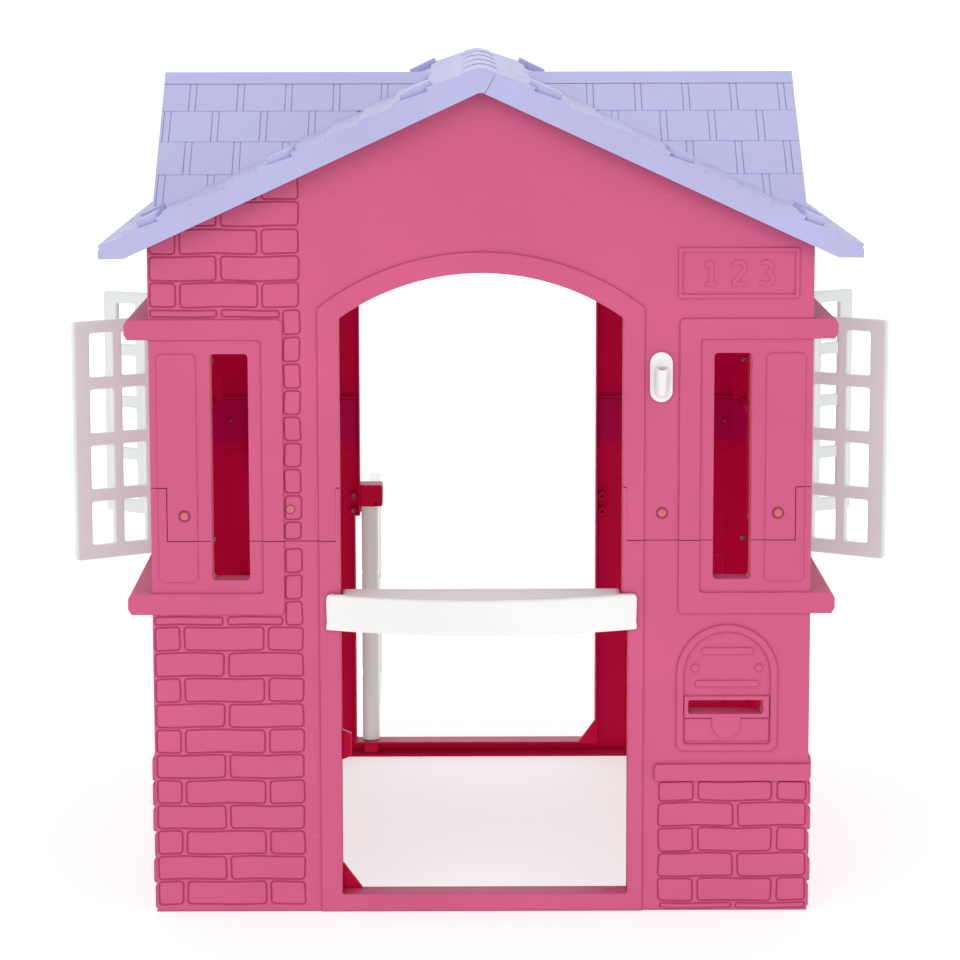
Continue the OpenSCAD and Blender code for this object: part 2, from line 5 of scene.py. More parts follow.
import bpy
import bmesh
from mathutils import Vector, Matrix
from mathutils.geometry import delaunay_2d_cdt
import numpy as np
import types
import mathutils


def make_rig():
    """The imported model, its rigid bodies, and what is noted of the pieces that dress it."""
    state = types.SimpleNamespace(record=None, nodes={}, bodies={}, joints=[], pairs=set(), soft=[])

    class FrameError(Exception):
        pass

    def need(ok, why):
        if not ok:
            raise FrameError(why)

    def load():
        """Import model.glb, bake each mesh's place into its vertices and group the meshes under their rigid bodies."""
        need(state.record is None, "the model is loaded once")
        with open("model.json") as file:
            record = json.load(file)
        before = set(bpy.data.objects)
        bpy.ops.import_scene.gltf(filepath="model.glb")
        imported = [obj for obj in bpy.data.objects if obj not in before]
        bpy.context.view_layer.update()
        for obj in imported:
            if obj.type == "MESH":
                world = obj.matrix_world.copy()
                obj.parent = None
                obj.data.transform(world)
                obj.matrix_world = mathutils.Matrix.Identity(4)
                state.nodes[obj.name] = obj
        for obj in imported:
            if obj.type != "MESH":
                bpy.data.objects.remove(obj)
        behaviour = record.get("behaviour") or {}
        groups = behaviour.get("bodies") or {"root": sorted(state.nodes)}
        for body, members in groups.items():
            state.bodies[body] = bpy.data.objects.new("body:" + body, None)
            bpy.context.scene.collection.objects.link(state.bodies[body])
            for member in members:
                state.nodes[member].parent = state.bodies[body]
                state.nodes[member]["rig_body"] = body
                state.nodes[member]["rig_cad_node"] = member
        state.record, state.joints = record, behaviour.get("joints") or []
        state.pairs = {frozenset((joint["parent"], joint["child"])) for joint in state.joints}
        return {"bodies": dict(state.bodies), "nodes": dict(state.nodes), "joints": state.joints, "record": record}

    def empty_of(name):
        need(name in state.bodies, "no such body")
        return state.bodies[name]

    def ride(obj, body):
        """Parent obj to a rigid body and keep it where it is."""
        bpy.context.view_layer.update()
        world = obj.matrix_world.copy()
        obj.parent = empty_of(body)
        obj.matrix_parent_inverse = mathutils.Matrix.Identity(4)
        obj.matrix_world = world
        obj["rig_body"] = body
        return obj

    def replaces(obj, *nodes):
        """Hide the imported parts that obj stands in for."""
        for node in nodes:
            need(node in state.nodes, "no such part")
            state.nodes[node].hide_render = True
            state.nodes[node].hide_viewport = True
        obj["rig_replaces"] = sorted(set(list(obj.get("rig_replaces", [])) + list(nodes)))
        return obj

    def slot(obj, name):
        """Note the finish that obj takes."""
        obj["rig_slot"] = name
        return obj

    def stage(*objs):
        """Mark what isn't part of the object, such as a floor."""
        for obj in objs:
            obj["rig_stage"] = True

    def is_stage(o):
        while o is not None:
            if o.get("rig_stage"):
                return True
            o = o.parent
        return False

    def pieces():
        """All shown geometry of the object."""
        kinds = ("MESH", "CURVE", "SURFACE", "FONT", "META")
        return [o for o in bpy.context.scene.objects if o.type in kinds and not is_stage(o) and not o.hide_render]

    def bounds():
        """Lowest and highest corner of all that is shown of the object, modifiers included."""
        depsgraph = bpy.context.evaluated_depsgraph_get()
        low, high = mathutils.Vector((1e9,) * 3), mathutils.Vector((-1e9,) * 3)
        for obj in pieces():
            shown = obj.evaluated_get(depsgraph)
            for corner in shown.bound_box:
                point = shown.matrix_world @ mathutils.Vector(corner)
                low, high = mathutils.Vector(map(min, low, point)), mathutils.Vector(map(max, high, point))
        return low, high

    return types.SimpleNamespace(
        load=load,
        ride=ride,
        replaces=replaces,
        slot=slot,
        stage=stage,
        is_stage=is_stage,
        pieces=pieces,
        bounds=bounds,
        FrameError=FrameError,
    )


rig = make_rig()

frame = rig.load()
box_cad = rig.bounds()
random.seed(11)

MM = 0.001
HW, HD, WT = 490.0, 480.0, 38.0
SEAM, LAP = 648.0, 568.0
SLOPE = 0.477
RIDGE = 1270.7
CREST = 1267.5
EAVE_X, EAVE_Y = 558.0, 514.0
A_ROOF = math.atan(SLOPE)
SIDE_RIDGE, SIDE_END, SIDE_HALF = 1241.0, 503.0, 268.0
HOODS = ((69, 113), (269, 306), (HW - 23, HW + 7))


def top_z(x):
    return RIDGE - SLOPE * abs(x)


SIDE_SLOPE = (SIDE_RIDGE - top_z(SIDE_END)) / SIDE_HALF
SIDE_HW = HD - WT - 0.4


# ------------------------------------------------------------------ outlines
def area2(p):
    return sum(a[0] * b[1] - b[0] * a[1] for a, b in zip(p, p[1:] + p[:1])) / 2


def tidy(p, eps=0.02):
    out = []
    for q in p:
        if not out or math.hypot(q[0] - out[-1][0], q[1] - out[-1][1]) > eps:
            out.append((float(q[0]), float(q[1])))
    while len(out) > 1 and math.hypot(out[0][0] - out[-1][0], out[0][1] - out[-1][1]) <= eps:
        out.pop()
    return out if area2(out) > 0 else out[::-1]


def offset(p, m):
    """Moves every edge of an anticlockwise outline outwards by m."""
    n, out = len(p), []
    for i in range(n):
        a, b, c = p[i - 1], p[i], p[(i + 1) % n]
        l1 = math.hypot(b[0] - a[0], b[1] - a[1]) or 1
        l2 = math.hypot(c[0] - b[0], c[1] - b[1]) or 1
        n1 = ((b[1] - a[1]) / l1, -(b[0] - a[0]) / l1)
        n2 = ((c[1] - b[1]) / l2, -(c[0] - b[0]) / l2)
        k = max(1 + n1[0] * n2[0] + n1[1] * n2[1], 0.25)
        out.append((b[0] + m * (n1[0] + n2[0]) / k, b[1] + m * (n1[1] + n2[1]) / k))
    return out


def rounded(p, r, n=4):
    """Rounds the corners; r is one radius or one per corner."""
    p = tidy(p)
    rs = r if isinstance(r, (list, tuple)) else [r] * len(p)
    out, k = [], len(p)
    for i in range(k):
        a, b, c = p[i - 1], p[i], p[(i + 1) % k]
        v1, v2 = (b[0] - a[0], b[1] - a[1]), (c[0] - b[0], c[1] - b[1])
        l1, l2 = math.hypot(*v1), math.hypot(*v2)
        d1, d2 = (v1[0] / l1, v1[1] / l1), (v2[0] / l2, v2[1] / l2)
        phi = math.atan2(d1[0] * d2[1] - d1[1] * d2[0], d1[0] * d2[0] + d1[1] * d2[1])
        if abs(phi) < 0.08 or rs[i] <= 2.2:
            out.append(b)
            continue
        t = min(rs[i] * math.tan(abs(phi) / 2), 0.48 * l1, 0.48 * l2)
        re = t / math.tan(abs(phi) / 2)
        s = 1 if phi > 0 else -1
        cx, cy = b[0] - d1[0] * t - d1[1] * re * s, b[1] - d1[1] * t + d1[0] * re * s
        a0 = math.atan2(b[1] - d1[1] * t - cy, b[0] - d1[0] * t - cx)
        for j in range(n + 1):
            a_ = a0 + phi * j / n
            out.append((cx + re * math.cos(a_), cy + re * math.sin(a_)))
    return tidy(out)


def rect(x1, z1, x2, z2, r=0.0, n=4):
    p = [(x1, z1), (x2, z1), (x2, z2), (x1, z2)]
    return rounded(p, r, n) if r else tidy(p)


def circle(x, z, r, n=24):
    return [(x + r * math.cos(2 * math.pi * i / n), z + r * math.sin(2 * math.pi * i / n)) for i in range(n)]


def dense(p, step):
    out = []
    for a, b in zip(p, p[1:] + p[:1]):
        k = max(1, int(math.hypot(b[0] - a[0], b[1] - a[1]) / step))
        out += [(a[0] + (b[0] - a[0]) * j / k, a[1] + (b[1] - a[1]) * j / k) for j in range(k)]
    return out


def clip(p, nx, ny, c):
    """Keeps the part of an outline where nx*x + ny*y <= c."""
    out = []
    for a, b in zip(p, p[1:] + p[:1]):
        fa, fb = nx * a[0] + ny * a[1] - c, nx * b[0] + ny * b[1] - c
        if fa <= 0:
            out.append(a)
        if (fa < 0 < fb) or (fb < 0 < fa):
            t = fa / (fa - fb)
            out.append((a[0] + (b[0] - a[0]) * t, a[1] + (b[1] - a[1]) * t))
    return out


def mirror(p):
    return [(-x, z) for x, z in p]


def wavy(p, amp=0.75):
    """The soft unevenness of a moulded brick outline."""
    return [(x + amp * math.sin(z * 0.071 + 1.3) * math.cos(x * 0.023),
             z + amp * math.sin(x * 0.055 + z * 0.017) + 0.35 * amp * math.sin(x * 0.16)) for x, z in p]


# ------------------------------------------------------------------ meshes
class Solid:
    """Closed bevelled solids from outlines, gathered into one mesh."""

    def __init__(self):
        self.v, self.f = [], []

    def loop(self, pts, d, m):
        k = len(self.v)
        self.v += [Vector(m(x, z, d)) * MM for x, z in pts]
        return list(range(k, k + len(pts)))

    def strip(self, a, b):
        n = len(a)
        self.f += [(a[i], a[(i + 1) % n], b[(i + 1) % n], b[i]) for i in range(n)]

    def cap(self, idx, pts):
        flat = [i for l in idx for i in l]
        if len(pts) == 1 and len(pts[0]) <= 4:
            self.f.append(tuple(flat))
            return
        co, ed = [], []
        for l in pts:
            k, n = len(co), len(l)
            co += [Vector(q) for q in l]
            ed += [(k + i, k + (i + 1) % n) for i in range(n)]
        vs, _, fs, ov, _, _ = delaunay_2d_cdt(co, ed, [], 0, 1e-5)
        if not fs:
            return
        v = np.array([tuple(q) for q in vs])
        c = v[np.array([tuple(f) for f in fs])].mean(1)
        p = np.array([tuple(q) for q in co])
        a, b = p[[e[0] for e in ed]], p[[e[1] for e in ed]]
        inside = np.zeros(len(c), bool)
        for i in range(0, len(c), 2000):
            q = c[i:i + 2000]
            up = (a[None, :, 1] > q[:, None, 1]) != (b[None, :, 1] > q[:, None, 1])
            with np.errstate(divide="ignore", invalid="ignore"):
                x = a[None, :, 0] + (q[:, None, 1] - a[None, :, 1]) * (b - a)[None, :, 0] / (b - a)[None, :, 1]
            inside[i:i + 2000] = ((up & (q[:, None, 0] < x)).sum(1) % 2) == 1
        near = [o[0] if o else int(((p - v[i]) ** 2).sum(1).argmin()) for i, o in enumerate(ov)]
        for f, ok in zip(fs, inside):
            if ok:
                t = [near[i] for i in f]
                if len(set(t)) == 3:
                    self.f.append(tuple(flat[i] for i in t))

    def face(self, idx, pts, feats, m):
        idx, pts = list(idx), list(pts)
        for loop, prof, kids in feats:
            r2 = [offset(loop, o) for o, _ in prof]
            ri = [self.loop(r, d, m) for r, (_, d) in zip(r2, prof)]
            for a, b in zip(ri, ri[1:]):
                self.strip(a, b)
            idx.append(ri[0])
            pts.append(r2[0])
            self.face([ri[-1]], [r2[-1]], kids, m)
        self.cap(idx, pts)

    def body(self, outer, holes, prof, m, front=(), back=(), rim=None):
        loops = [outer] + list(holes)
        first, last, p0, p1 = [], [], [], []
        for k, l in enumerate(loops):
            s = -1 if k == 0 else 1
            edge = rim if rim and k == 0 else prof
            r2 = [offset(l, s * o) for o, _ in edge]
            ri = [self.loop(r, d, m) for r, (_, d) in zip(r2, edge)]
            for a, b in zip(ri, ri[1:]):
                self.strip(a, b)
            first.append(ri[0]); last.append(ri[-1]); p0.append(r2[0]); p1.append(r2[-1])
        self.face(first, p0, front, m)
        self.face(last, p1, back, m)

    def slab(self, outer, d0, d1, m, bf=1.0, bb=0.6, holes=(), front=(), back=(), seg=3):
        """A plate from depth d0 to d1 with rounded front and back edges."""
        prof = [(bf * (1 - math.sin(math.pi / 2 * j / seg)), d0 + bf * (1 - math.cos(math.pi / 2 * j / seg))) for j in range(seg + 1)]
        prof += [(bb * (1 - math.cos(math.pi / 2 * j / 2)), d1 - bb * (1 - math.sin(math.pi / 2 * j / 2))) for j in range(3)] if bb else [(0, d1)]
        self.body(outer, holes, prof, m, front, back)

    def lathe(self, prof, m, n=28):
        """A turned solid: prof is (radius, height) from one end of the axis to the other; m places (x, y, h)."""
        rings = []
        for r, h in prof:
            if r < 1e-6:
                k = len(self.v)
                self.v.append(Vector(m(0, 0, h)) * MM)
                rings.append([k])
            else:
                k = len(self.v)
                self.v += [Vector(m(r * math.cos(2 * math.pi * i / n), r * math.sin(2 * math.pi * i / n), h)) * MM for i in range(n)]
                rings.append(list(range(k, k + n)))
        for a, b in zip(rings, rings[1:]):
            if len(a) == 1 and len(b) == 1:
                continue
            if len(a) == 1:
                self.f += [(a[0], b[(i + 1) % n], b[i]) for i in range(n)]
            elif len(b) == 1:
                self.f += [(a[i], a[(i + 1) % n], b[0]) for i in range(n)]
            else:
                self.strip(a, b)

    def build(self, name, body, nodes, mat, slot, angle=38):
        me = bpy.data.meshes.new(name)
        me.from_pydata([tuple(v) for v in self.v], [], self.f)
        bm = bmesh.new()
        bm.from_mesh(me)
        bmesh.ops.remove_doubles(bm, verts=bm.verts, dist=2e-6)
        bmesh.ops.dissolve_degenerate(bm, dist=1e-6, edges=bm.edges)
        bmesh.ops.recalc_face_normals(bm, faces=bm.faces)
        bm.to_mesh(me)
        bm.free()
        me.shade_smooth()
        me.set_sharp_from_angle(angle=math.radians(angle))
        ob = bpy.data.objects.new(name, me)
        bpy.context.scene.collection.objects.link(ob)
        w = ob.modifiers.new("weighted", "WEIGHTED_NORMAL")
        w.keep_sharp = True
        w.weight = 80
        me.materials.append(mat)
        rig.ride(ob, body)
        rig.replaces(ob, *nodes)
        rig.slot(ob, slot)
        return ob


# ------------------------------------------------------------------ finishes
def plastic(name, base, crevice_shade_colour, rough=0.42, grain=0.35, cavity=0.006, wear=(0.95, 0.9, 0.92), wear_amount=0.12, sheen=0.5, inner=None, glow=None, hold=0.75, thin=None):
    """Moulded plastic: fine grain, slow unevenness, scuffs, painted shade in the grooves and recesses, and where asked
    painted bounce light and glow.
    """
    m = bpy.data.materials.new(name)
    m.use_nodes = True
    nt = m.node_tree
    nt.nodes.clear()
    N = lambda t, **k: (lambda q: ([setattr(q, a, b) for a, b in k.items()], q)[1])(nt.nodes.new(t))
    L = nt.links.new
    out = N("ShaderNodeOutputMaterial")
    b = N("ShaderNodeBsdfPrincipled")
    L(b.outputs[0], out.inputs[0])
    tc = N("ShaderNodeTexCoord")

    def noise(scale, detail=3.0, rough_=0.5, squash=(1, 1, 1)):
        mp = N("ShaderNodeMapping")
        mp.inputs["Scale"].default_value = squash
        L(tc.outputs["Object"], mp.inputs[0])
        n = N("ShaderNodeTexNoise")
        n.inputs["Scale"].default_value = scale
        n.inputs["Detail"].default_value = detail
        n.inputs["Roughness"].default_value = rough_
        L(mp.outputs[0], n.inputs["Vector"])
        return n

    def ramp(src, p0, p1, c0=(0, 0, 0, 1), c1=(1, 1, 1, 1)):
        r = N("ShaderNodeValToRGB")
        r.color_ramp.elements[0].position, r.color_ramp.elements[1].position = p0, p1
        r.color_ramp.elements[0].color, r.color_ramp.elements[1].color = c0, c1
        L(src, r.inputs[0])
        return r

    def mix(fac, a, c, mode="MIX"):
        x = N("ShaderNodeMix", data_type="RGBA", blend_type=mode)
        for sock, val in ((x.inputs[0], fac), (x.inputs[6], a), (x.inputs[7], c)):
            if isinstance(val, bpy.types.NodeSocket):
                L(val, sock)
            else:
                sock.default_value = val
        return x.outputs[2]

    slow = noise(2.3, 2.0)
    blot = noise(9.0, 4.0, 0.6)
    fine = noise(620.0, 2.0, 0.6)
    peel = noise(95.0, 2.0, 0.5)
    scuff = noise(46.0, 6.0, 0.7, (0.25, 0.25, 2.2))
    # colour: slow flow variation of the pigment
    tint = ramp(slow.outputs["Fac"], 0.3, 0.7, (0.955, 0.94, 0.95, 1), (1.03, 1.03, 1.03, 1))
    col = mix(1.0, (*base, 1), tint.outputs[0], "MULTIPLY")
    tint2 = ramp(blot.outputs["Fac"], 0.35, 0.7, (0.975, 0.965, 0.97, 1), (1.015, 1.015, 1.015, 1))
    col = mix(1.0, col, tint2.outputs[0], "MULTIPLY")
    # faint scuffs
    sc = ramp(scuff.outputs["Fac"], 0.62, 0.78)
    sc2 = N("ShaderNodeMath", operation="MULTIPLY")
    L(sc.outputs[0], sc2.inputs[0])
    sc2.inputs[1].default_value = wear_amount
    col = mix(sc2.outputs[0], col, (*wear, 1))
    # painted shade: an ambient-occlusion mask darkens grooves, creases and recesses towards the darker colour
    ao = N("ShaderNodeAmbientOcclusion", samples=4)
    ao.inputs["Distance"].default_value = cavity
    cav = ramp(ao.outputs["AO"], 0.2, 0.9, (1 - hold, 1 - hold, 1 - hold, 1), (1, 1, 1, 1))
    col = mix(cav.outputs[0], (*crevice_shade_colour, 1), col)
    if inner:
        # inside the cabin: painted bounce light and painted shade, a deeper colour and an emitted glow standing in for
        # light passing back and forth between the walls, and through the thin skin
        sep = N("ShaderNodeSeparateXYZ")
        L(tc.outputs["Object"], sep.inputs[0])
        masks = []
        for axis, lim in (("X", HW), ("Y", HD)):
            ab = N("ShaderNodeMath", operation="ABSOLUTE")
            L(sep.outputs[axis], ab.inputs[0])
            mr = N("ShaderNodeMapRange")
            mr.inputs["From Min"].default_value = (lim - 1.6) * MM
            mr.inputs["From Max"].default_value = (lim - 2.9) * MM
            L(ab.outputs[0], mr.inputs["Value"])
            masks.append(mr)
        mm = N("ShaderNodeMath", operation="MULTIPLY")
        L(masks[0].outputs[0], mm.inputs[0])
        L(masks[1].outputs[0], mm.inputs[1])
        geo = N("ShaderNodeNewGeometry")
        sn = N("ShaderNodeSeparateXYZ")
        L(geo.outputs["Normal"], sn.inputs[0])
        # painted light: faces that look upwards get less of the painted inner colour and glow
        upw = N("ShaderNodeMapRange")
        upw.inputs["From Min"].default_value = 0.35
        upw.inputs["From Max"].default_value = 0.8
        upw.inputs["To Min"].default_value = 1.0
        upw.inputs["To Max"].default_value = 0.12
        L(sn.outputs["Z"], upw.inputs["Value"])
        m3 = N("ShaderNodeMath", operation="MULTIPLY")
        L(mm.outputs[0], m3.inputs[0])
        L(upw.outputs[0], m3.inputs[1])
        mm = m3
        flow = ramp(slow.outputs["Fac"], 0.36, 0.64)
        hue = mix(flow.outputs[0], (inner[0] * 0.86, inner[1], inner[2] * 0.8, 1), (inner[0] * 0.9, inner[1], inner[2] * 1.25, 1))
        # painted shade: across the lap the painted colour and glow turn more magenta, standing in for the two skins
        # letting less light through
        lap = N("ShaderNodeMath", operation="COMPARE")
        L(sep.outputs["Z"], lap.inputs[0])
        lap.inputs[1].default_value = (LAP + SEAM) / 2 * MM
        lap.inputs[2].default_value = (SEAM - LAP) / 2 * MM
        hue = mix(lap.outputs[0], hue, (inner[0] * 0.8, inner[1], inner[2] * 1.7, 1))
        # painted shade: grooves inside the cabin darken to a fifth of the inner colour
        deep = mix(cav.outputs[0], tuple(c * 0.2 for c in inner) + (1,), hue)
        col = mix(mm.outputs[0], col, deep)
        # painted light: the emitted glow inside the cabin, dimmer in the grooves, stands in for bounce light; it is no
        # lamp
        gl = mix(flow.outputs[0], (glow[0] * 1.08, 0, glow[2] * 0.75, 1), (glow[0] * 1.12, 0, glow[2] * 1.2, 1))
        gl = mix(lap.outputs[0], gl, (glow[0] * 0.85, 0, glow[2] * 1.5, 1))
        glow_c = mix(mm.outputs[0], (0, 0, 0, 1), mix(cav.outputs[0], (glow[0] * 0.4, 0, 0, 1), gl))
        L(glow_c, b.inputs["Emission Color"])
        b.inputs["Emission Strength"].default_value = 1.0
        gloss = N("ShaderNodeMapRange")
        gloss.inputs["To Min"].default_value = sheen
        gloss.inputs["To Max"].default_value = 0.10
        L(mm.outputs[0], gloss.inputs["Value"])
        L(gloss.outputs[0], b.inputs["Specular IOR Level"])
    if thin:
        # painted light: an even emitted glow stands in for light that a thin white skin passes on
        b.inputs["Emission Color"].default_value = (*thin, 1)
        b.inputs["Emission Strength"].default_value = 1.0
    L(col, b.inputs["Base Color"])
    # roughness
    r = N("ShaderNodeMapRange")
    r.inputs["To Min"].default_value = rough - 0.09
    r.inputs["To Max"].default_value = rough + 0.12
    L(blot.outputs["Fac"], r.inputs["Value"])
    r2 = N("ShaderNodeMath", operation="MULTIPLY_ADD")
    L(sc.outputs[0], r2.inputs[0])
    r2.inputs[1].default_value = 0.15
    L(r.outputs[0], r2.inputs[2])
    L(r2.outputs[0], b.inputs["Roughness"])
    b.inputs["Specular IOR Level"].default_value = sheen
    # relief of the skin
    add = N("ShaderNodeMath", operation="MULTIPLY_ADD")
    L(peel.outputs["Fac"], add.inputs[0])
    add.inputs[1].default_value = 2.2
    L(fine.outputs["Fac"], add.inputs[2])
    bump = N("ShaderNodeBump")
    bump.inputs["Strength"].default_value = grain
    bump.inputs["Distance"].default_value = 0.00012
    L(add.outputs[0], bump.inputs["Height"])
    L(bump.outputs[0], b.inputs["Normal"])
    return m


# the second colour of each finish is the painted shade in its grooves and recesses; inner and glow on the walls paint
# bounce light and a glow inside the cabin
PINK = plastic("wall_pink", (0.60, 0.082, 0.210), (0.27, 0.004, 0.042), 0.46, wear=(0.8, 0.36, 0.48), inner=(0.42, 0.0, 0.03), glow=(0.135, 0.0, 0.013), hold=0.8)
LILAC = plastic("roof_lilac", (0.44, 0.445, 0.72), (0.22, 0.22, 0.50), 0.44, wear=(0.75, 0.75, 0.9), hold=0.6)
WHITE = plastic("trim_white", (0.86, 0.86, 0.845), (0.5, 0.49, 0.47), 0.36, wear=(0.7, 0.68, 0.64), wear_amount=0.08, hold=0.5)
# painted light: a darker white base with an emitted greenish-white glow standing in for light through the thin skin
LEAF = plastic("shutter_white", (0.655, 0.665, 0.655), (0.45, 0.47, 0.46), 0.36, wear=(0.7, 0.72, 0.7), wear_amount=0.08, hold=0.5, thin=(0.15, 0.203, 0.19))
# strong painted shade in the ring grooves round the cap heads
CAP = plastic("screw_cap", (0.65, 0.135, 0.175), (0.16, 0.004, 0.02), 0.4, cavity=0.003, hold=0.95)


def metal(name, base, rough):
    # a darker copy of the base serves as the painted shade in the grooves
    m = plastic(name, base, tuple(c * 0.3 for c in base), rough, grain=0.2, wear=(0.5, 0.42, 0.35), wear_amount=0.3)
    b = [n for n in m.node_tree.nodes if n.type == "BSDF_PRINCIPLED"][0]
    b.inputs["Metallic"].default_value = 1.0
    return m


STEEL = metal("screw_steel", (0.40, 0.37, 0.38), 0.4)


# ------------------------------------------------------------------ places
def on_front(x, z, d):
    return (x, -HD + d, z)


def on_back(x, z, d):
    return (-x, HD - d, z)


def on_right(u, z, d):
    return (HW - d, u, z)


def on_left(u, z, d):
    return (-HW + d, -u, z)


def in_plan(flip=1):
    # outlines in (x, y), depth is measured down from z = 0
    return lambda x, y, d: (x, y, d)


# ------------------------------------------------------------------ end walls
R_DOOR = (210 ** 2 + 67 ** 2) / (2 * 67)
Z_ARC = 967 - R_DOOR


def arch(m, n=40, x=None):
    """Arc over the doorway, from right to left, grown by m."""
    x = x if x is not None else 210 + m
    r = R_DOOR + m
    a0 = math.acos(x / r)
    return [(r * math.cos(a0 + (math.pi - 2 * a0) * i / n), Z_ARC + r * math.sin(a0 + (math.pi - 2 * a0) * i / n)) for i in range(n + 1)]


def px(x):
    return (x - 481.5) * 1.5


def pz(y):
    return (917 - y) * 1.5


GROOVE = [(1.9, 0.0), (1.2, 0.35), (0.55, 1.7), (-0.1, 1.9), (-0.7, 1.5), (-1.4, 0.35), (-2.2, -0.1)]
RIDGE_IN = [(2.6, 3.0), (1.6, 3.5), (0.7, 4.7), (-0.2, 5.0), (-1.1, 4.6), (-1.9, 3.6), (-2.7, 3.1)]
STEP = [(1.2, 0.0), (0.5, 0.5), (0.1, 0.9), (-0.3, 0.5), (-0.9, -0.4), (-1.8, -0.8)]
PLATEAU = [(0.9, 0.0), (0.3, 0.45), (0.0, 0.2), (-0.5, -0.5), (-1.3, -0.9)]


def brick(x1, z1, x2, z2, limits=()):
    p = [(x1, z1), (x2, z1), (x2, z2), (x1, z2)]
    for c in limits:
        p = clip(p, *c)
        if len(p) < 3:
            return None
    p = tidy(p)
    xs, zs = [q[0] for q in p], [q[1] for q in p]
    if abs(area2(p)) < 60 or max(xs) - min(xs) < 9 or max(zs) - min(zs) < 6:
        return None
    h = min(max(zs) - min(zs), 35)
    return (wavy(dense(rounded(p, min(5.0, h * 0.3), 3), 24)), GROOVE, [])


GABLE = 1.0 / math.sqrt(1 + SLOPE ** 2)
UNDER = 3.32
edge_l = (-1, 0, HW - 3.5)
gable_l = (-SLOPE, 1, RIDGE - UNDER - 8)
gable_r = (SLOPE, 1, RIDGE - UNDER - 8)


def wall_bricks():
    low, up = [], []
    A = [(140, 182), (186.7, 262.6), (267.2, 303)]
    B = [(140, 222.5), (227.4, 303)]
    A2 = [(140, 181.5), (186.2, 265), (269.8, 304)]
    B2 = [(140, 225), (230, 304)]
    rows = [(122.5, B), (149, A), (175.6, B)]
    rows = [(149.0, B), (175.6, A), (202.0, B), (229.0, A), (255.6, B), (281.6, A)]
    for y, pat in rows:
        for a, b in pat:
            q = brick(px(a), pz(y + 23.6), px(b), pz(y), [edge_l, gable_l])
            if q:
                up.append(q)
    # the row that the window head cuts, then the column of half bricks beside the window
    for a, b in B:
        q = brick(px(a), 902.5, px(b), pz(308.5), [edge_l, (1, 0, -297)])
        if q:
            up.append(q)
    col = [(308.5, 332)] + [(335 + 26.4 * k, 358.5 + 26.4 * k) for k in range(11)]
    for y0, y1 in col:
        z0, z1 = pz(y1), pz(y0)
        for lo_, hi_, dest in ((z0, min(z1, LAP - 2.8), low), (max(z0, LAP + 2.8), z1, up)):
            if hi_ - lo_ > 7:
                q = brick(-291.5, lo_, px(303.5), hi_)
                if q:
                    dest.append(q)
    for a, b in B2:
        q = brick(px(a), pz(622.6), px(b), 453.5, [edge_l, (1, 0, -297)])
        if q:
            low.append(q)
    y = 625.4
    k = 0
    while y < 905:
        for a, b in (A2 if k % 2 == 0 else B2):
            q = brick(px(a), pz(y + 23.3), px(b), pz(y), [edge_l])
            if q:
                low.append(q)
        y += 26.06
        k += 1
    for a, b in B2:
        q = brick(px(a), 3.6, px(b), pz(911), [edge_l])
        if q:
            low.append(q)
    # lower right
    edge_r = (1, 0, HW - 3.5)
    for k, (y0, y1) in enumerate([(783.5, 803.5), (806, 829.4), (832, 855.6), (858, 881.6), (884, 907), (909.6, 914.6)]):
        pat = [(658.4, 692.8), (698.2, 771.8), (777.6, 830)] if k % 2 == 0 else [(658.4, 732.8), (738, 830)]
        if k == 5:
            pat = [(660, 732), (737, 830)]
        for a, b in pat:
            q = brick(px(a), max(pz(y1), 3.6), px(b), min(pz(y0), 199.5), [edge_r])
            if q:
                low.append(q)
    return low, up


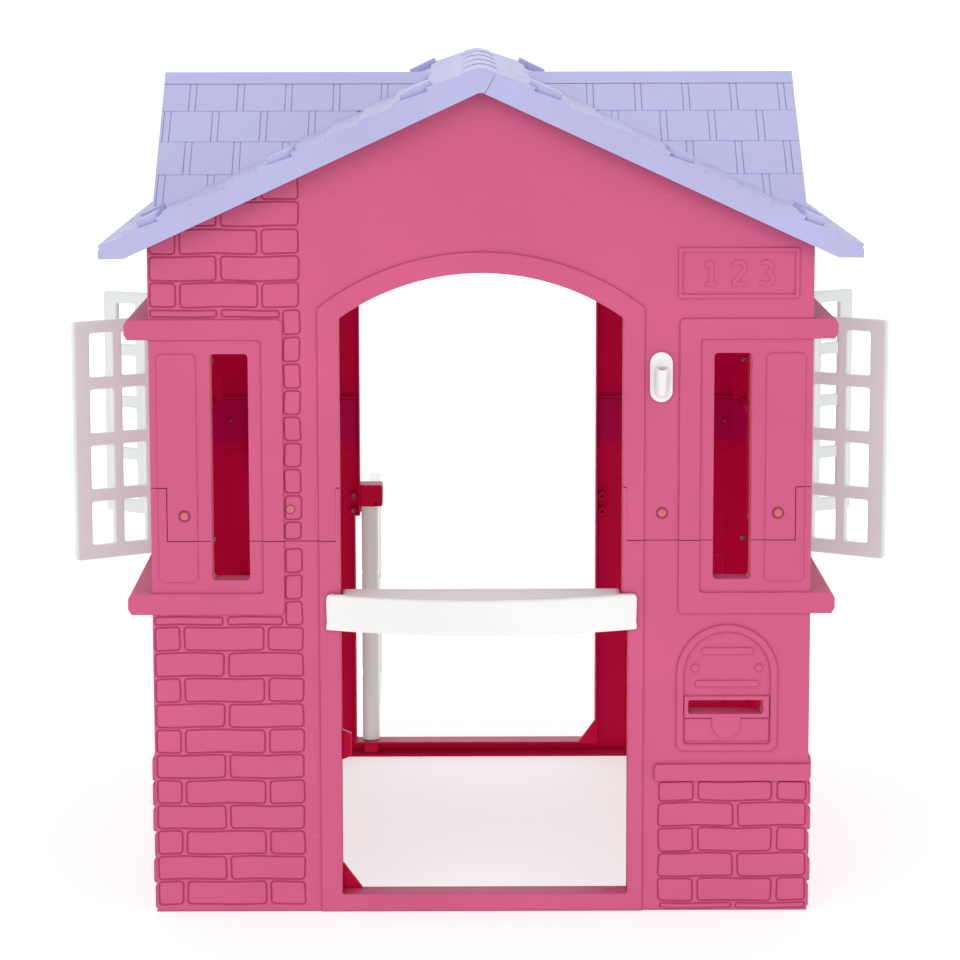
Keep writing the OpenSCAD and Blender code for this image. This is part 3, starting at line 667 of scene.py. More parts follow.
def end_wall(place, which, nodes, tag, screws_left, screws_right):
    m = place
    g = 0.35
    low_b, up_b = wall_bricks()
    # ---- lower panel
    s = Solid()
    r = 5.5
    lower = [(-HW, 0), (HW, 0), (HW, SEAM - g), (466 + g, SEAM - g), (466 + g, LAP - g), (400, LAP - g), (400, 509), (344, 509), (344, LAP - g),
             (240, LAP - g), (240, 20), (-240, 20), (-240, LAP - g), (-344, LAP - g), (-344, 509), (-400, 509), (-400, LAP - g),
             (-466 - g, LAP - g), (-466 - g, SEAM - g), (-HW, SEAM - g)]
    radii = [1, 1, 1.5, 1.5, 1.5, 1, r, r, 1, 1, 1, 1, 1, 1, r, r, 1, 1.5, 1.5, 1.5]
    lower = rounded(lower, radii, 4)
    mail_hole = rect(309, 304, 421, 325, 3)
    inside = lambda q: max(abs(v[0]) for v in q) < HW - 6 and min(v[1] for v in q) > 7
    s.slab(lower, 0, 3, m, 0.8, 0.5, holes=[mail_hole], front=low_b, back=[(q[0], RIDGE_IN, []) for q in low_b if inside(q[0])])
    # corner bricks on the returns
    for sgn in (-1, 1):
        for k in range(6):
            z1 = 4 + k * 39.6
            q = wavy(dense(rounded([(1.5, z1), (36.5, z1), (36.5, z1 + 35), (1.5, z1 + 35)], 5, 3), 16), 0.6)
            s.slab(q, -(4.4 if (k % 2 == 1 or k == 4) else 2.6), 0.5, (lambda a, z, d, sgn=sgn: m(sgn * (HW - d), z, a)), 2.3, 0, seg=4)
    # door surround with its jambs, and the sill
    jamb = 210
    trim = [(-241, 0), (241, 0), (241, LAP - g), (216 + g, LAP - g), (216 + g, SEAM - g), (jamb, SEAM - g), (jamb, 440), (219, 440), (219, 27),
            (-210, 27), (-210, SEAM - g), (-216 - g, SEAM - g), (-216 - g, LAP - g), (-241, LAP - g)]
    s.slab(rounded(trim, [1, 1, 2, 2, 1, 1, 1, 1, 3, 3, 1, 1, 2, 2], 3), -3, 3.2, m, 1.3, 0.5)
    liner = [(-213.2, 23.8), (222.2, 23.8), (222.2, 443.2), (213.2, 443.2), (213.2, SEAM - g), (210.05, SEAM - g), (210.05, 440.05), (219.05, 440.05), (219.05, 26.95),
             (-210.05, 26.95), (-210.05, SEAM - g), (-213.2, SEAM - g)]
    s.slab(tidy(liner), 2, WT, m, 0.1, 0.9)
    # rims
    rim = [(-HW + 0.05, 0.05), (HW - 0.05, 0.05), (HW - 0.05, SEAM - g), (HW - 3.2, SEAM - g), (HW - 3.2, 5), (-HW + 3.2, 5), (-HW + 3.2, SEAM - g), (-HW + 0.05, SEAM - g)]
    s.slab(tidy(rim), 1.5, WT, m, 0.3, 0.9)
    for sgn in (-1, 1):
        f = (lambda p: p) if sgn > 0 else (lambda p: tidy(mirror(p)))
        s.slab(f(rect(HW - WT, 1, HW - 0.2, SEAM - g, 0)), WT - 3, WT - 0.05, m, 0.4, 0.9)
        slot = [(341, 506), (403, 506), (403, SEAM - g), (399.95, SEAM - g), (399.95, 509.05), (344.05, 509.05), (344.05, SEAM - g), (341, SEAM - g)]
        s.slab(f(rounded(slot, [7, 7, 0, 0, 5, 5, 0, 0], 4)), 1.5, WT, m, 0.3, 0.9)
        # shelf behind the lap, and the flange along the seam
        for a, b in ((216, 342), (402, HW - 2)):
            s.slab(f(rect(a, LAP - 12, b, SEAM - g)), 3.4, 6.0, m, 0.4, 0.6)
            s.slab(f(rect(a, LAP - 12, b, LAP - 1.2)), 2.4, 4.4, m, 0.3, 0.3)
            s.slab(f(rect(a, SEAM - 4, b, SEAM - g)), 2.8, WT - 12, m, 0.3, 1.0)
        for z in (447, 474):
            s.slab(circle(sgn * 221, z, 6.5, 20), 3.0, WT - 0.2, m, 0.2, 0.8, holes=[circle(sgn * 221, z, 3.6, 20)])
            s.slab(circle(sgn * 221, z, 6.5, 20), 3.0, 22, m, 0.2, 0.4)
    s.slab(rect(306, 301, 424, 328, 4), 1.5, WT, m, 0.3, 0.9, holes=[rect(309.05, 304.05, 420.95, 324.95, 3)])
    # window frame of the lower panel: side member, sill ledge, ears
    for sgn in (-1, 1):
        f = (lambda p: p) if sgn > 0 else (lambda p: tidy(mirror(p)))
        cf = [(293, 457), (HW + 1, 457), (HW + 1, 489), (324, 489), (324, LAP - g), (293, LAP - g)]
        s.slab(f(rounded(cf, [7, 0, 0, 5, 1, 1], 5)), -3, 1, m, 1.4, 0)
        ear(s, m, sgn, 457, 489)
        pn = [(421, 506), (479, 506), (479, SEAM - g), (466 + g, SEAM - g), (466 + g, LAP - g), (421, LAP - g)]
        s.slab(f(rounded(pn, [8, 8, 1, 1, 1, 1], 5)), -1.6, 1, m, 1.3, 0)
    # plinth ledge
    s.slab(rounded([(259, 201), (HW + 2, 201), (HW + 2, 227), (259, 227)], [3, 1, 1, 5], 4), -5, 1, m, 2.2, 0)
    mail_panel(s, m)
    # catch, corner gusset, sill block with the pivot hole
    s.slab(rounded([(-213, 227), (-211, 227), (-196, 233), (-196, 268), (-211, 274), (-213, 274)], [0, 1, 4, 4, 1, 0], 4), 28, WT - 0.1, m, 1.2, 1.2)
    s.slab(rounded([(-212, 25), (-181, 25), (-181, 28), (-209, 66), (-212, 66)], [0, 0, 2, 2, 0], 3), 30, WT - 0.1, m, 1.0, 1.0)
    plan = lambda x, y, d: m(x, d, y)
    s.body(rect(180, 1.2, 206, WT - 4, 3), [circle(193, 15, 6.06, 40)], [(0.8, 27.3), (0.25, 27.1), (0, 26.5), (0, 10), (0, 8)], plan)
    s.body(rect(181, 2, 205, WT - 5, 2), [], [(0, 9), (0, 1)], plan)
    s.build("vis_" + nodes[0], "house", [nodes[0]], PINK, "wall_plastic")

    # ---- upper panel
    s = Solid()
    x0 = HW
    ttop = RIDGE - UNDER - SLOPE * HW
    fx = (RIDGE - UNDER - CREST + 4.7) / SLOPE
    upper = [(466 - g, LAP + g), (466 - g, SEAM + g), (HW, SEAM + g), (HW, ttop), (fx, CREST - 4.7), (-fx, CREST - 4.7), (-HW, ttop), (-HW, SEAM + g),
             (-466 + g, SEAM + g), (-466 + g, LAP + g), (-400, LAP + g), (-400, 848), (-344, 848), (-344, LAP + g), (-240, LAP + g), (-240, 914)]
    upper += [(-x_, z_) for x_, z_ in arch(30, 40, 240)][1:-1] if False else arch(30, 40, 240)[1:-1][::-1]
    upper += [(240, 914), (240, LAP + g), (344, LAP + g), (344, 848), (400, 848), (400, LAP + g)]
    upper = tidy(upper)
    radii = []
    for q in upper:
        radii.append(r if (abs(q[1] - 848) < 0.1) else (1.5 if q[1] < SEAM + 1 else 0))
    upper = rounded(upper, radii, 4)
    s.slab(upper, 0, 3, m, 0.8, 0.5, front=up_b + bores([(268, 609)], 0.0), back=[(q[0], RIDGE_IN, []) for q in up_b if inside(q[0])])
    trim = [(241, LAP + g), (241, 915.4)] + arch(31, 44, 241)[1:-1] + [(-241, 915.4), (-241, LAP + g), (-216 + g, LAP + g), (-216 + g, SEAM + g), (-210, SEAM + g), (-210, 900)]
    trim += arch(0, 44)[1:-1][::-1] + [(210, 900), (210, SEAM + g), (216 - g, SEAM + g), (216 - g, LAP + g)]
    s.slab(tidy(trim), -3, 3.2, m, 1.3, 0.5)
    liner = [(213.2, SEAM + g), (213.2, 900)] + arch(3.2, 44, 213.2)[1:-1] + [(-213.2, 900), (-213.2, SEAM + g), (-210.05, SEAM + g), (-210.05, 900)] + arch(0.05, 44, 210.05)[1:-1][::-1] + [(210.05, 900), (210.05, SEAM + g)]
    s.slab(tidy(liner), 2, WT, m, 0.1, 0.9)
    for sgn in (-1, 1):
        f = (lambda p: p) if sgn > 0 else (lambda p: tidy(mirror(p)))
        rim = [(HW - 3.2, SEAM + g), (HW - 0.05, SEAM + g), (HW - 0.05, ttop), (fx, CREST - 4.7), (0, CREST - 4.7), (0, CREST - 8.2), (fx - 1, CREST - 8.2), (HW - 3.2, ttop - 1.9)]
        s.slab(f(tidy(rim)), 1.5, WT, m, 0.3, 0.9)
        s.slab(f(rect(HW - WT, SEAM + g, HW - 0.2, ttop - 6)), WT - 3, WT - 0.05, m, 0.4, 0.9)
        slot = [(341, SEAM + g), (344.05, SEAM + g), (344.05, 847.95), (399.95, 847.95), (399.95, SEAM + g), (403, SEAM + g), (403, 851), (341, 851)]
        s.slab(f(rounded(slot, [0, 0, 5, 5, 0, 0, 7, 7], 4)), 1.5, WT, m, 0.3, 0.9)
        for a, b in ((213, 342), (402, HW - 2)):
            s.slab(f(rect(a, SEAM + g, b, SEAM + 4)), 2.4, WT - 12, m, 0.3, 1.0)
        cf = [(293, LAP + g), (324, LAP + g), (324, 869), (HW + 1, 869), (HW + 1, 899), (293, 899)]
        s.slab(f(rounded(cf, [1, 1, 5, 0, 0, 7], 5)), -3, 1, m, 1.4, 0)
        ear(s, m, sgn, 869, 899)
        pn = [(421, LAP + g), (466 - g, LAP + g), (466 - g, SEAM + g), (479, SEAM + g), (479, 848), (421, 848)]
        s.slab(f(rounded(pn, [1, 1, 1, 1, 8, 8], 5)), -1.6, 1, m, 1.3, 0, front=bores([(sgn * 440, 606 if sgn < 0 else 609)], -1.6))
    # number plate and its digits
    s.slab(rect(290, 929, 468, 1003.5, 2.5), -2.2, 1, m, 1.0, 0, holes=[rect(296, 935, 462, 997.5, 1.5)])
    digits(s, m)
    # tabs that hook into the roof's hoods
    for a, b in HOODS:
        for sgn in (-1, 1):
            l = (b - a) / math.cos(A_ROOF)
            def tab(t, h, d, a=a, sgn=sgn):
                x = a + t * math.cos(A_ROOF) + h * math.sin(A_ROOF)
                return m(sgn * x, top_z(a) - t * math.sin(A_ROOF) + h * math.cos(A_ROOF), d)
            s.slab(rect(5, -10, l - 5, 4.8, 1), 2, 31, tab, 0.6, 0.6)
    s.build("vis_" + nodes[1], "house", [nodes[1]], PINK, "wall_plastic")


def ear(s, m, sgn, z1, z2):
    """End of a ledge that carries it round the corner, with its faceted nose."""
    zc = (z1 + z2) / 2
    p = [(HW - 1, z1), (HW + 31, z1), (HW + 36, z1 + 8), (HW + 36, z2 - 8), (HW + 31, z2), (HW - 1, z2)]
    p = rounded(p, [0, 2, 3, 3, 2, 0], 3)
    if sgn < 0:
        p = tidy(mirror(p))
    s.slab(p, -3, WT + 0.3, m, 1.4, 0.3)


def mail_panel(s, m):
    def arched(x, z1, z2, w, r, n=28):
        h = w / 2
        p = [(x - h + r * (1 - math.cos(a)), z1 + r * (1 - math.sin(a))) for a in [math.pi / 2 * i / 5 for i in range(6)]]
        p += [(x + h - r * (1 - math.sin(a)), z1 + r * (1 - math.cos(a))) for a in [math.pi / 2 * i / 5 for i in range(6)]]
        p += [(x + h * math.cos(math.pi * i / n), z2 - h + h * math.sin(math.pi * i / n)) for i in range(n + 1)]
        return tidy(p)
    outer, inner = arched(366.7, 246.6, 440.4, 151.8, 12), arched(366.7, 258, 429, 129, 5)
    s.slab(outer, -4.4, 1.5, m, 4.0, 0, holes=[inner], seg=5)
    s.slab(rect(303, 298, 430, 331, 2), -3, 1, m, 1.0, 0, holes=[rect(309, 304, 421, 325, 3)])
    for x1, x2, z1, z2 in ((328, 406, 394, 405), (319, 415, 345, 355)):
        s.slab(rect(x1, z1, x2, z2, 4.9, 5), -2.4, 1, m, 2.0, 0)
    for x in (319, 414):
        s.slab(circle(x, 374, 6.2, 20), -2.6, 1, m, 2.2, 0)
    s.slab(rect(303.5, 262.5, 430, 296.5, 2.5), -1.2, 1, m, 0.8, 0)
    tab = [(345, 299.5), (345, 296.5)] + [(366.2 + 21.5 * math.cos(a), 288.5 + 21.5 * math.sin(a)) for a in [math.pi + math.pi * i / 16 for i in range(17)]] + [(387.6, 296.5), (387.6, 299.5)]
    s.slab(tidy(tab), -3.2, 1, m, 0.9, 0)


def stroke(pts, w):
    """Outline of a stroke of width w along a polyline."""
    left, right = [], []
    for i, p in enumerate(pts):
        a = pts[max(i - 1, 0)]
        b = pts[min(i + 1, len(pts) - 1)]
        dx, dz = b[0] - a[0], b[1] - a[1]
        l = math.hypot(dx, dz)
        nx, nz = -dz / l * w / 2, dx / l * w / 2
        left.append((p[0] + nx, p[1] + nz))
        right.append((p[0] - nx, p[1] - nz))
    return tidy(left + right[::-1])


def digits(s, m):
    """Plain made-up house number: 1 2 3."""
    z0, h = 948.0, 36.0
    one = [[(338, z0), (338, z0 + h)], [(330, z0 + h - 8), (337, z0 + h - 1)], [(330, z0 + 1.8), (346, z0 + 1.8)]]
    c = (379, z0 + h - 9.5)
    arc2 = [(c[0] + 8.6 * math.cos(math.radians(a)), c[1] + 8.0 * math.sin(math.radians(a))) for a in range(165, -50, -15)]
    two = [arc2 + [(370.5, z0 + 3)], [(369, z0 + 1.8), (389, z0 + 1.8)]]
    c1, c2 = (419, z0 + h - 9), (419, z0 + 10)
    arc3a = [(c1[0] + 8.0 * math.cos(math.radians(a)), c1[1] + 7.4 * math.sin(math.radians(a))) for a in range(150, -91, -15)]
    arc3b = [(c2[0] + 9.0 * math.cos(math.radians(a)), c2[1] + 8.4 * math.sin(math.radians(a))) for a in range(90, -151, -15)]
    k = 0
    for group in (one, two, [arc3a, arc3b]):
        for line in group:
            s.slab(stroke(line, 6.4), -1.0 - 0.05 * (k % 3), 1, m, 0.4, 0)
            k += 1


def bores(pts, d):
    """Ring grooves in a wall face round the cap heads."""
    return [(circle(x, z, 9.0, 28), [(0.5, d), (0.1, d + 0.2), (-0.3, d + 0.9), (-0.7, d + 1.3)], []) for x, z in pts]


# ------------------------------------------------------------------ side walls
def side_wall(place, nodes):
    m = place
    g = 0.35
    W = SIDE_HW
    s = Solid()
    low_b = []
    # brick courses below the plinth line
    for k in range(6):
        z1 = 4 + k * 39.6
        z2 = min(z1 + 35, 238)
        xs = [-W + 3 + (0 if k % 2 == 0 else -60) + i * 120.5 for i in range(9)]
        for x in xs:
            q = brick(x, z1, x + 114, z2, [(-1, 0, W - 3.5), (1, 0, W - 3.5)])
            if q:
                low_b.append(q[0])
    lower = [(-W, 0), (W, 0), (W, SEAM - g), (420 + g, SEAM - g), (420 + g, LAP - g), (230 - g, LAP - g), (230 - g, SEAM - g), (160, SEAM - g), (160, 488),
             (-160, 488), (-160, SEAM - g), (-230 + g, SEAM - g), (-230 + g, LAP - g), (-420 - g, LAP - g), (-420 - g, SEAM - g), (-W, SEAM - g)]
    s.slab(rounded(lower, [1, 1, 1.5, 1.5, 1.5, 1.5, 1.5, 1, 1, 1, 1, 1.5, 1.5, 1.5, 1.5, 1.5], 3), 0, 3, m, 0.8, 0.5)
    s.slab(rect(-W, 0.05, W, 243), -1.0, 0.5, m, 0.8, 0)
    for q in low_b:
        s.slab(q, -4.6, 0, m, 2.4, 0, seg=4)
    frame_l = [(-190, 486), (190, 486), (190, SEAM - g), (159, SEAM - g), (159, 489), (-159, 489), (-159, SEAM - g), (-190, SEAM - g)]
    s.slab(rounded(frame_l, [0, 0, 1, 1, 5, 5, 1, 1], 4), -3, 3.2, m, 1.3, 0.5)
    rim = [(-W + 0.05, 0.1), (W - 0.05, 0.1), (W - 0.05, SEAM - g), (W - 3.2, SEAM - g), (W - 3.2, 5), (-W + 3.2, 5), (-W + 3.2, SEAM - g), (-W + 0.05, SEAM - g)]
    s.slab(tidy(rim), 1.5, WT, m, 0.3, 0.9)
    wr = [(-162, 486), (162, 486), (162, SEAM - g), (159.05, SEAM - g), (159.05, 489.05), (-159.05, 489.05), (-159.05, SEAM - g), (-162, SEAM - g)]
    s.slab(rounded(wr, [6, 6, 0, 0, 5, 5, 0, 0], 4), 2, WT, m, 0.1, 0.9)
    ledge(s, m, 457, 489, W)
    for sgn in (-1, 1):
        a, b = (161, W - 2) if sgn > 0 else (-W + 2, -161)
        s.slab(rect(a, LAP - 12, b, SEAM - g), 3.4, 6.0, m, 0.4, 0.6)
        s.slab(rect(a, LAP - 12, b, LAP - 1.2), 2.4, 4.4, m, 0.3, 0.3)
        s.slab(rect(a, SEAM - 4, b, SEAM - g), 2.8, WT - 12, m, 0.3, 1.0)
        for x in (262, 390):
            s.slab(circle(sgn * x, 608, 6, 20), 5, 20, m, 0.2, 0.6)
    s.build("vis_" + nodes[0], "house", [nodes[0]], PINK, "wall_plastic")

    s = Solid()
    ttop = RIDGE - UNDER - SLOPE * HW - 1
    upper = [(420 - g, LAP + g), (420 - g, SEAM + g), (W, SEAM + g), (W, ttop), (-W, ttop), (-W, SEAM + g), (-420 + g, SEAM + g), (-420 + g, LAP + g), (-230 - g, LAP + g),
             (-230 - g, SEAM + g), (-160, SEAM + g), (-160, 870), (160, 870), (160, SEAM + g), (230 + g, SEAM + g), (230 + g, LAP + g)]
    s.slab(rounded(upper, [1.5, 1.5, 1.5, 0, 0, 1.5, 1.5, 1.5, 1.5, 1.5, 1, 1, 1, 1, 1.5, 1.5], 3), 0, 3, m, 0.8, 0.5)
    fr = [(-190, SEAM + g), (-159, SEAM + g), (-159, 869), (159, 869), (159, SEAM + g), (190, SEAM + g), (190, 872), (-190, 872)]
    s.slab(rounded(fr, [1, 1, 5, 5, 1, 1, 0, 0], 4), -3, 3.2, m, 1.3, 0.5)
    wr = [(-162, SEAM + g), (-159.05, SEAM + g), (-159.05, 868.95), (159.05, 868.95), (159.05, SEAM + g), (162, SEAM + g), (162, 872), (-162, 872)]
    s.slab(rounded(wr, [0, 0, 5, 5, 0, 0, 6, 6], 4), 2, WT, m, 0.1, 0.9)
    ledge(s, m, 869, 899, W)
    for sgn in (-1, 1):
        a, b = (W - 3.2, W - 0.05) if sgn > 0 else (-W + 0.05, -W + 3.2)
        s.slab(rect(a, SEAM + g, b, ttop - 1), 1.5, WT, m, 0.3, 0.9)
        a, b = (161, W - 2) if sgn > 0 else (-W + 2, -161)
        s.slab(rect(a, SEAM + g, b, SEAM + 4), 2.4, WT - 12, m, 0.3, 1.0)
    s.slab(rect(-W + 0.1, ttop - 5, W - 0.1, ttop - 0.2), 1.5, WT - 1, m, 0.3, 0.9)
    s.build("vis_" + nodes[1], "house", [nodes[1]], PINK, "wall_plastic")


def ledge(s, m, z1, z2, W):
    """Ledge along a side wall: a faceted nose, drawn across the wall and run along it."""
    p = [(-1, z1), (31, z1), (36, z1 + 8), (36, z2 - 8), (31, z2), (-1, z2)]
    p = rounded(p, [0, 2, 3, 3, 2, 0], 3)
    along = lambda a, z, d: m(d, z, -a)
    s.body(p, [], [(0, -W), (0, W)], along)


# ------------------------------------------------------------------ roof
def main_slope(sgn):
    sa, ca = math.sin(A_ROOF), math.cos(A_ROOF)
    return lambda x, y, d: (sgn * (x - d * sa), y, top_z(x) - d * ca)


def side_slope(sgn, face):
    a = math.atan(SIDE_SLOPE)
    sa, ca = math.sin(a), math.cos(a)
    return lambda x, b, d: (sgn * x, face * (b - d * sa), SIDE_RIDGE - SIDE_SLOPE * b - d * ca)


VX = (RIDGE - SIDE_RIDGE) / SLOPE
VK = SIDE_SLOPE / SLOPE


def shingle(s, p, m, up, butt, axis, t=4.2, lift=0.6):
    """A wedge-shaped shingle: thin at the top, t thick at the butt."""
    p = tidy(p) if len(p) > 2 else p
    if len(p) < 3 or abs(area2(p)) < 60:
        return
    def w(a, b, d):
        q = a if axis == 0 else b
        h = lift + (t - lift) * min(max((q - up) / (butt - up), 0), 1)
        return m(a, b, -h + d if d < 1.5 else 0.8)
    p = rounded(p, 1.0, 1)
    for prof in ([(0.9, 0.0), (0.3, 0.2), (0, 0.8), (0, 2.0)],):
        try:
            s.body(p, [], prof, w)
        except Exception:
            pass


def roof_half(sgn, nodes, tag):
    s = Solid()
    m = main_slope(sgn)
    x_in = 23.5 if sgn > 0 else 12
    # the sheet of the main slope, open under the side gable
    tri = tidy([(VX + 5, 0), (SIDE_END - 2, -(SIDE_END - 2 - VX - 3) / VK), (SIDE_END - 2, (SIDE_END - 2 - VX - 3) / VK)])
    s.slab(rect(x_in, -EAVE_Y + 0.3, EAVE_X, EAVE_Y - 0.3, 0), 0.2, 3.0, m, 0.3, 0.3, holes=[tri])
    # eave board
    s.slab(rect(-EAVE_Y + 0.2, 991.5, EAVE_Y - 0.2, top_z(EAVE_X) - 0.6), 0, 3.0, lambda a, z, d: (sgn * (EAVE_X - d), a, z), 0.8, 0.8)
    # gable boards, front and back
    zf = lambda x: CREST - 34.5 - (CREST - 34.5 - 991.8) * x / (EAVE_X - 37)
    for f in (-1, 1):
        if sgn > 0:
            board = [(5.6, zf(5.6)), (EAVE_X - 37, 991.8), (EAVE_X, 991.5), (EAVE_X, top_z(EAVE_X)), (23.2, top_z(23.2)), (22.2, 1259.4)]
        else:
            board = [(-EAVE_X, 991.5), (37 - EAVE_X, 991.8), (0, CREST - 34.5), (5, 1230.5), (21.6, 1259.0), (22.8, top_z(22.8) + 0.2), (18, top_z(18) + 0.6), (0, 1263.6), (-18, top_z(18) + 0.6), (-24, top_z(24)), (-EAVE_X, top_z(EAVE_X))]
        rr = [1] * len(board)
        s.slab(rounded(board, rr, 2), 0, 3.0, (lambda x, z, d, f=f: (x, f * (EAVE_Y - d), z)), 1.0, 0.6)
    def in_front(p, f):
        q = clip(p, 1 / VK, -f, (VX + 3) / VK)
        return clip(q, 0, -f, 0) if len(q) > 2 else q

    def on_eave(p, f):
        q = clip(p, -1, 0, -(SIDE_END + 1.5))
        q = clip(q, -1 / VK, f, -(VX + 3) / VK) if len(q) > 2 else q
        return clip(q, 0, -f, 0) if len(q) > 2 else q

    # rows of shingles: butts run down the slope
    butts = [28 + 49.1 * k for k in range(12)]
    rows = list(zip(butts[:-1], butts[1:]))
    y_pitch = 76.3
    for k, (u, bt) in enumerate(rows):
        bt = min(bt, EAVE_X - 2.6)
        whole = [(u - 0.5, -EAVE_Y + 0.4), (bt - 0.15, -EAVE_Y + 0.4), (bt - 0.15, EAVE_Y - 0.4), (u - 0.5, EAVE_Y - 0.4)]
        if bt <= VX:
            shingle(s, whole, m, u, bt, 0, 2.8, 0.3)
        else:
            for f in (-1, 1):
                shingle(s, in_front(whole, f), m, u, bt, 0, 2.8, 0.3)
                if bt > SIDE_END + 2:
                    shingle(s, on_eave(whole, f), m, u, bt, 0, 2.8, 0.3)
        y = -EAVE_Y + 0.2 - (0 if k % 2 == 0 else y_pitch / 2)
        while y < EAVE_Y:
            for a, b in ((y, y + y_pitch - 11.0), (y + y_pitch - 10.2, y + y_pitch - 0.8)):
                a2, b2 = max(a, -EAVE_Y + 0.2), min(b, EAVE_Y - 0.2)
                if b2 - a2 < 3:
                    continue
                strip = (b - a) < 20
                tt = 6.0 if strip else 6.8
                p = [(u - 1, a2), (bt, a2), (bt, b2), (u - 1, b2)]
                # front and back of the side gable's valleys
                if bt <= VX:
                    shingle(s, p, m, u, bt, 0, tt)
                else:
                    # keep the part in front of, and behind, the valley
                    for f in (-1, 1):
                        shingle(s, in_front(p, f), m, u, bt, 0, tt)
                        if bt > SIDE_END + 2:
                            shingle(s, on_eave(p, f), m, u, bt, 0, tt)
            y += y_pitch
    # side gable: two slopes, end board, ridge strip and rows of shingles
    bounds_b = [22.7, 73.9, 131.4, 191.8, 252.0, SIDE_HALF + 14]
    for f in (-1, 1):
        w = side_slope(sgn, f)
        poly = tidy([(VX, 0), (SIDE_END, 0), (SIDE_END, SIDE_HALF)])
        s.slab(poly, 0, 3.0, w, 0.1, 0.3)
        # plain strip along the ridge
        strip = clip([(VX, -0.8), (SIDE_END, -0.8), (SIDE_END, 22.0), (VX, 22.0)], -1, VK, -VX)
        if len(strip) > 2:
            s.slab(tidy(strip), -2.6, 1, w, 0.7, 0)
        for k, (u, bt) in enumerate(zip(bounds_b[:-1], bounds_b[1:])):
            if sgn > 0:
                x0 = (171.8 if k % 2 == 0 else 209.8) - 76.3 * 3
            else:
                x0 = (450.2 if k % 2 == 0 else 487.6) - 76.3 * 7
            bb = min(bt, SIDE_HALF + 2)
            under = clip([(VX, u - 0.4), (SIDE_END - 0.5, u - 0.4), (SIDE_END - 0.5, bb - 0.15), (VX, bb - 0.15)], -1, VK, -VX + 1.2)
            if len(under) > 2:
                shingle(s, under, w, u, bt, 1, 0.6, 0.3)
            for j in range(9):
                a = x0 + 76.3 * j
                for c, d_, st in ((a + 0.5, a + 10.0, True), (a + 10.9, a + 75.8, False)):
                    c2, d2 = max(c, VX), min(d_, SIDE_END - 0.3)
                    if d2 - c2 < 2:
                        continue
                    bb = min(bt, SIDE_HALF + 2)
                    q = clip([(c2, u - 0.6), (d2, u - 0.6), (d2, bb), (c2, bb)], -1, VK, -VX + 1.0)
                    if len(q) > 2:
                        shingle(s, q, w, u, bt, 1, 2.1 if st else 2.4, 1.4 if st else 1.6)
    end = tidy([(-SIDE_HALF - 1, top_z(SIDE_END) - 1), (SIDE_HALF + 1, top_z(SIDE_END) - 1), (0.1, SIDE_RIDGE - 0.1), (-0.1, SIDE_RIDGE - 0.1)])
    s.slab(end, 0, 3.0, lambda a, z, d: (sgn * (SIDE_END - d), a, z), 0.5, 0.6)
    # hoods over the wall tabs
    def hood(a, b, y1, y2, h=13.5):
        l = (b - a) / math.cos(A_ROOF)
        def w(t, y, d):
            x = a + t * math.cos(A_ROOF) + d * math.sin(A_ROOF)
            return (sgn * x, y, top_z(a) - t * math.sin(A_ROOF) + d * math.cos(A_ROOF))
        up = lambda t, y, d: w(t, y, -d)
        s.slab(rect(0, y1, l, y2, 3.0, 3), -h, 2, up, 1.1, 0)
    for a, b in HOODS:
        hood(a, b, -508, -445)
        hood(a, b, 445, 508)
    hood(HW - 14, HW + 22, -SIDE_HALF - 28, -SIDE_HALF - 4)
    hood(HW - 14, HW + 22, SIDE_HALF + 4, SIDE_HALF + 28)
    if sgn < 0:
        ridge_cap(s)
        # tongue that backs the seam between the two gable boards
        for f in (-1, 1):
            s.slab([(-4, 1231), (9, 1231.5), (19.5, 1249), (21, 1257), (8, 1257)], 2.0, 5.2, (lambda x, z, d, f=f: (x, f * (EAVE_Y - d), z)), 0.3, 0.3)
    s.build("vis_" + nodes[0], "house", nodes, LILAC, "roof_plastic")


def ridge_cap(s):
    """Overlapping rounded ridge tiles with scalloped ends."""
    half, n = 25.0, 14
    base = [(-half + 2 * half * i / n) for i in range(n + 1)]
    def height(x):
        t = abs(x) / half
        return CREST - 1.5 - 8.3 * t ** 2
    tiles = 5
    length = 2 * EAVE_Y / tiles
    for k in range(tiles):
        y0 = -EAVE_Y + 0.15 + k * length
        y1 = y0 + length + (10 if k < tiles - 1 else -0.3)
        # outline in (x, y): scalloped butt towards the front, rows across the tile
        scallop = 16.0 if k else 0.0
        v = []
        m_ = 6
        rings = []
        for j in range(m_ + 1):
            t = j / m_
            row = []
            for i, x in enumerate(base):
                ys = y0 + scallop * ((x / half) ** 2)
                y = ys + (y1 - ys) * t
                lift = 1.45 * (1 - t)
                row.append((x * (1.0 + 0.02 * (1 - t)), y, height(x) + lift))
            rings.append(row)
        k0 = len(s.v)
        for row in rings:
            s.v += [Vector(p) * MM for p in row]
        k1 = len(s.v)
        for row in rings:
            s.v += [Vector((p[0], p[1], height(base[i]) - 3.0)) * MM for i, p in enumerate(row)]
        w_ = n + 1
        for j in range(m_):
            for i in range(n):
                a = k0 + j * w_ + i
                s.f.append((a, a + 1, a + w_ + 1, a + w_))
                b = k1 + j * w_ + i
                s.f.append((b, b + w_, b + w_ + 1, b + 1))
        for i in range(n):
            s.f.append((k0 + i, k1 + i, k1 + i + 1, k0 + i + 1))
            e, g_ = k0 + m_ * w_ + i, k1 + m_ * w_ + i
            s.f.append((e, e + 1, g_ + 1, g_))
        for j in range(m_):
            a, b = k0 + j * w_, k1 + j * w_
            s.f.append((a, a + w_, b + w_, b))
            a, b = k0 + j * w_ + n, k1 + j * w_ + n
            s.f.append((a, b, b + w_, a + w_))


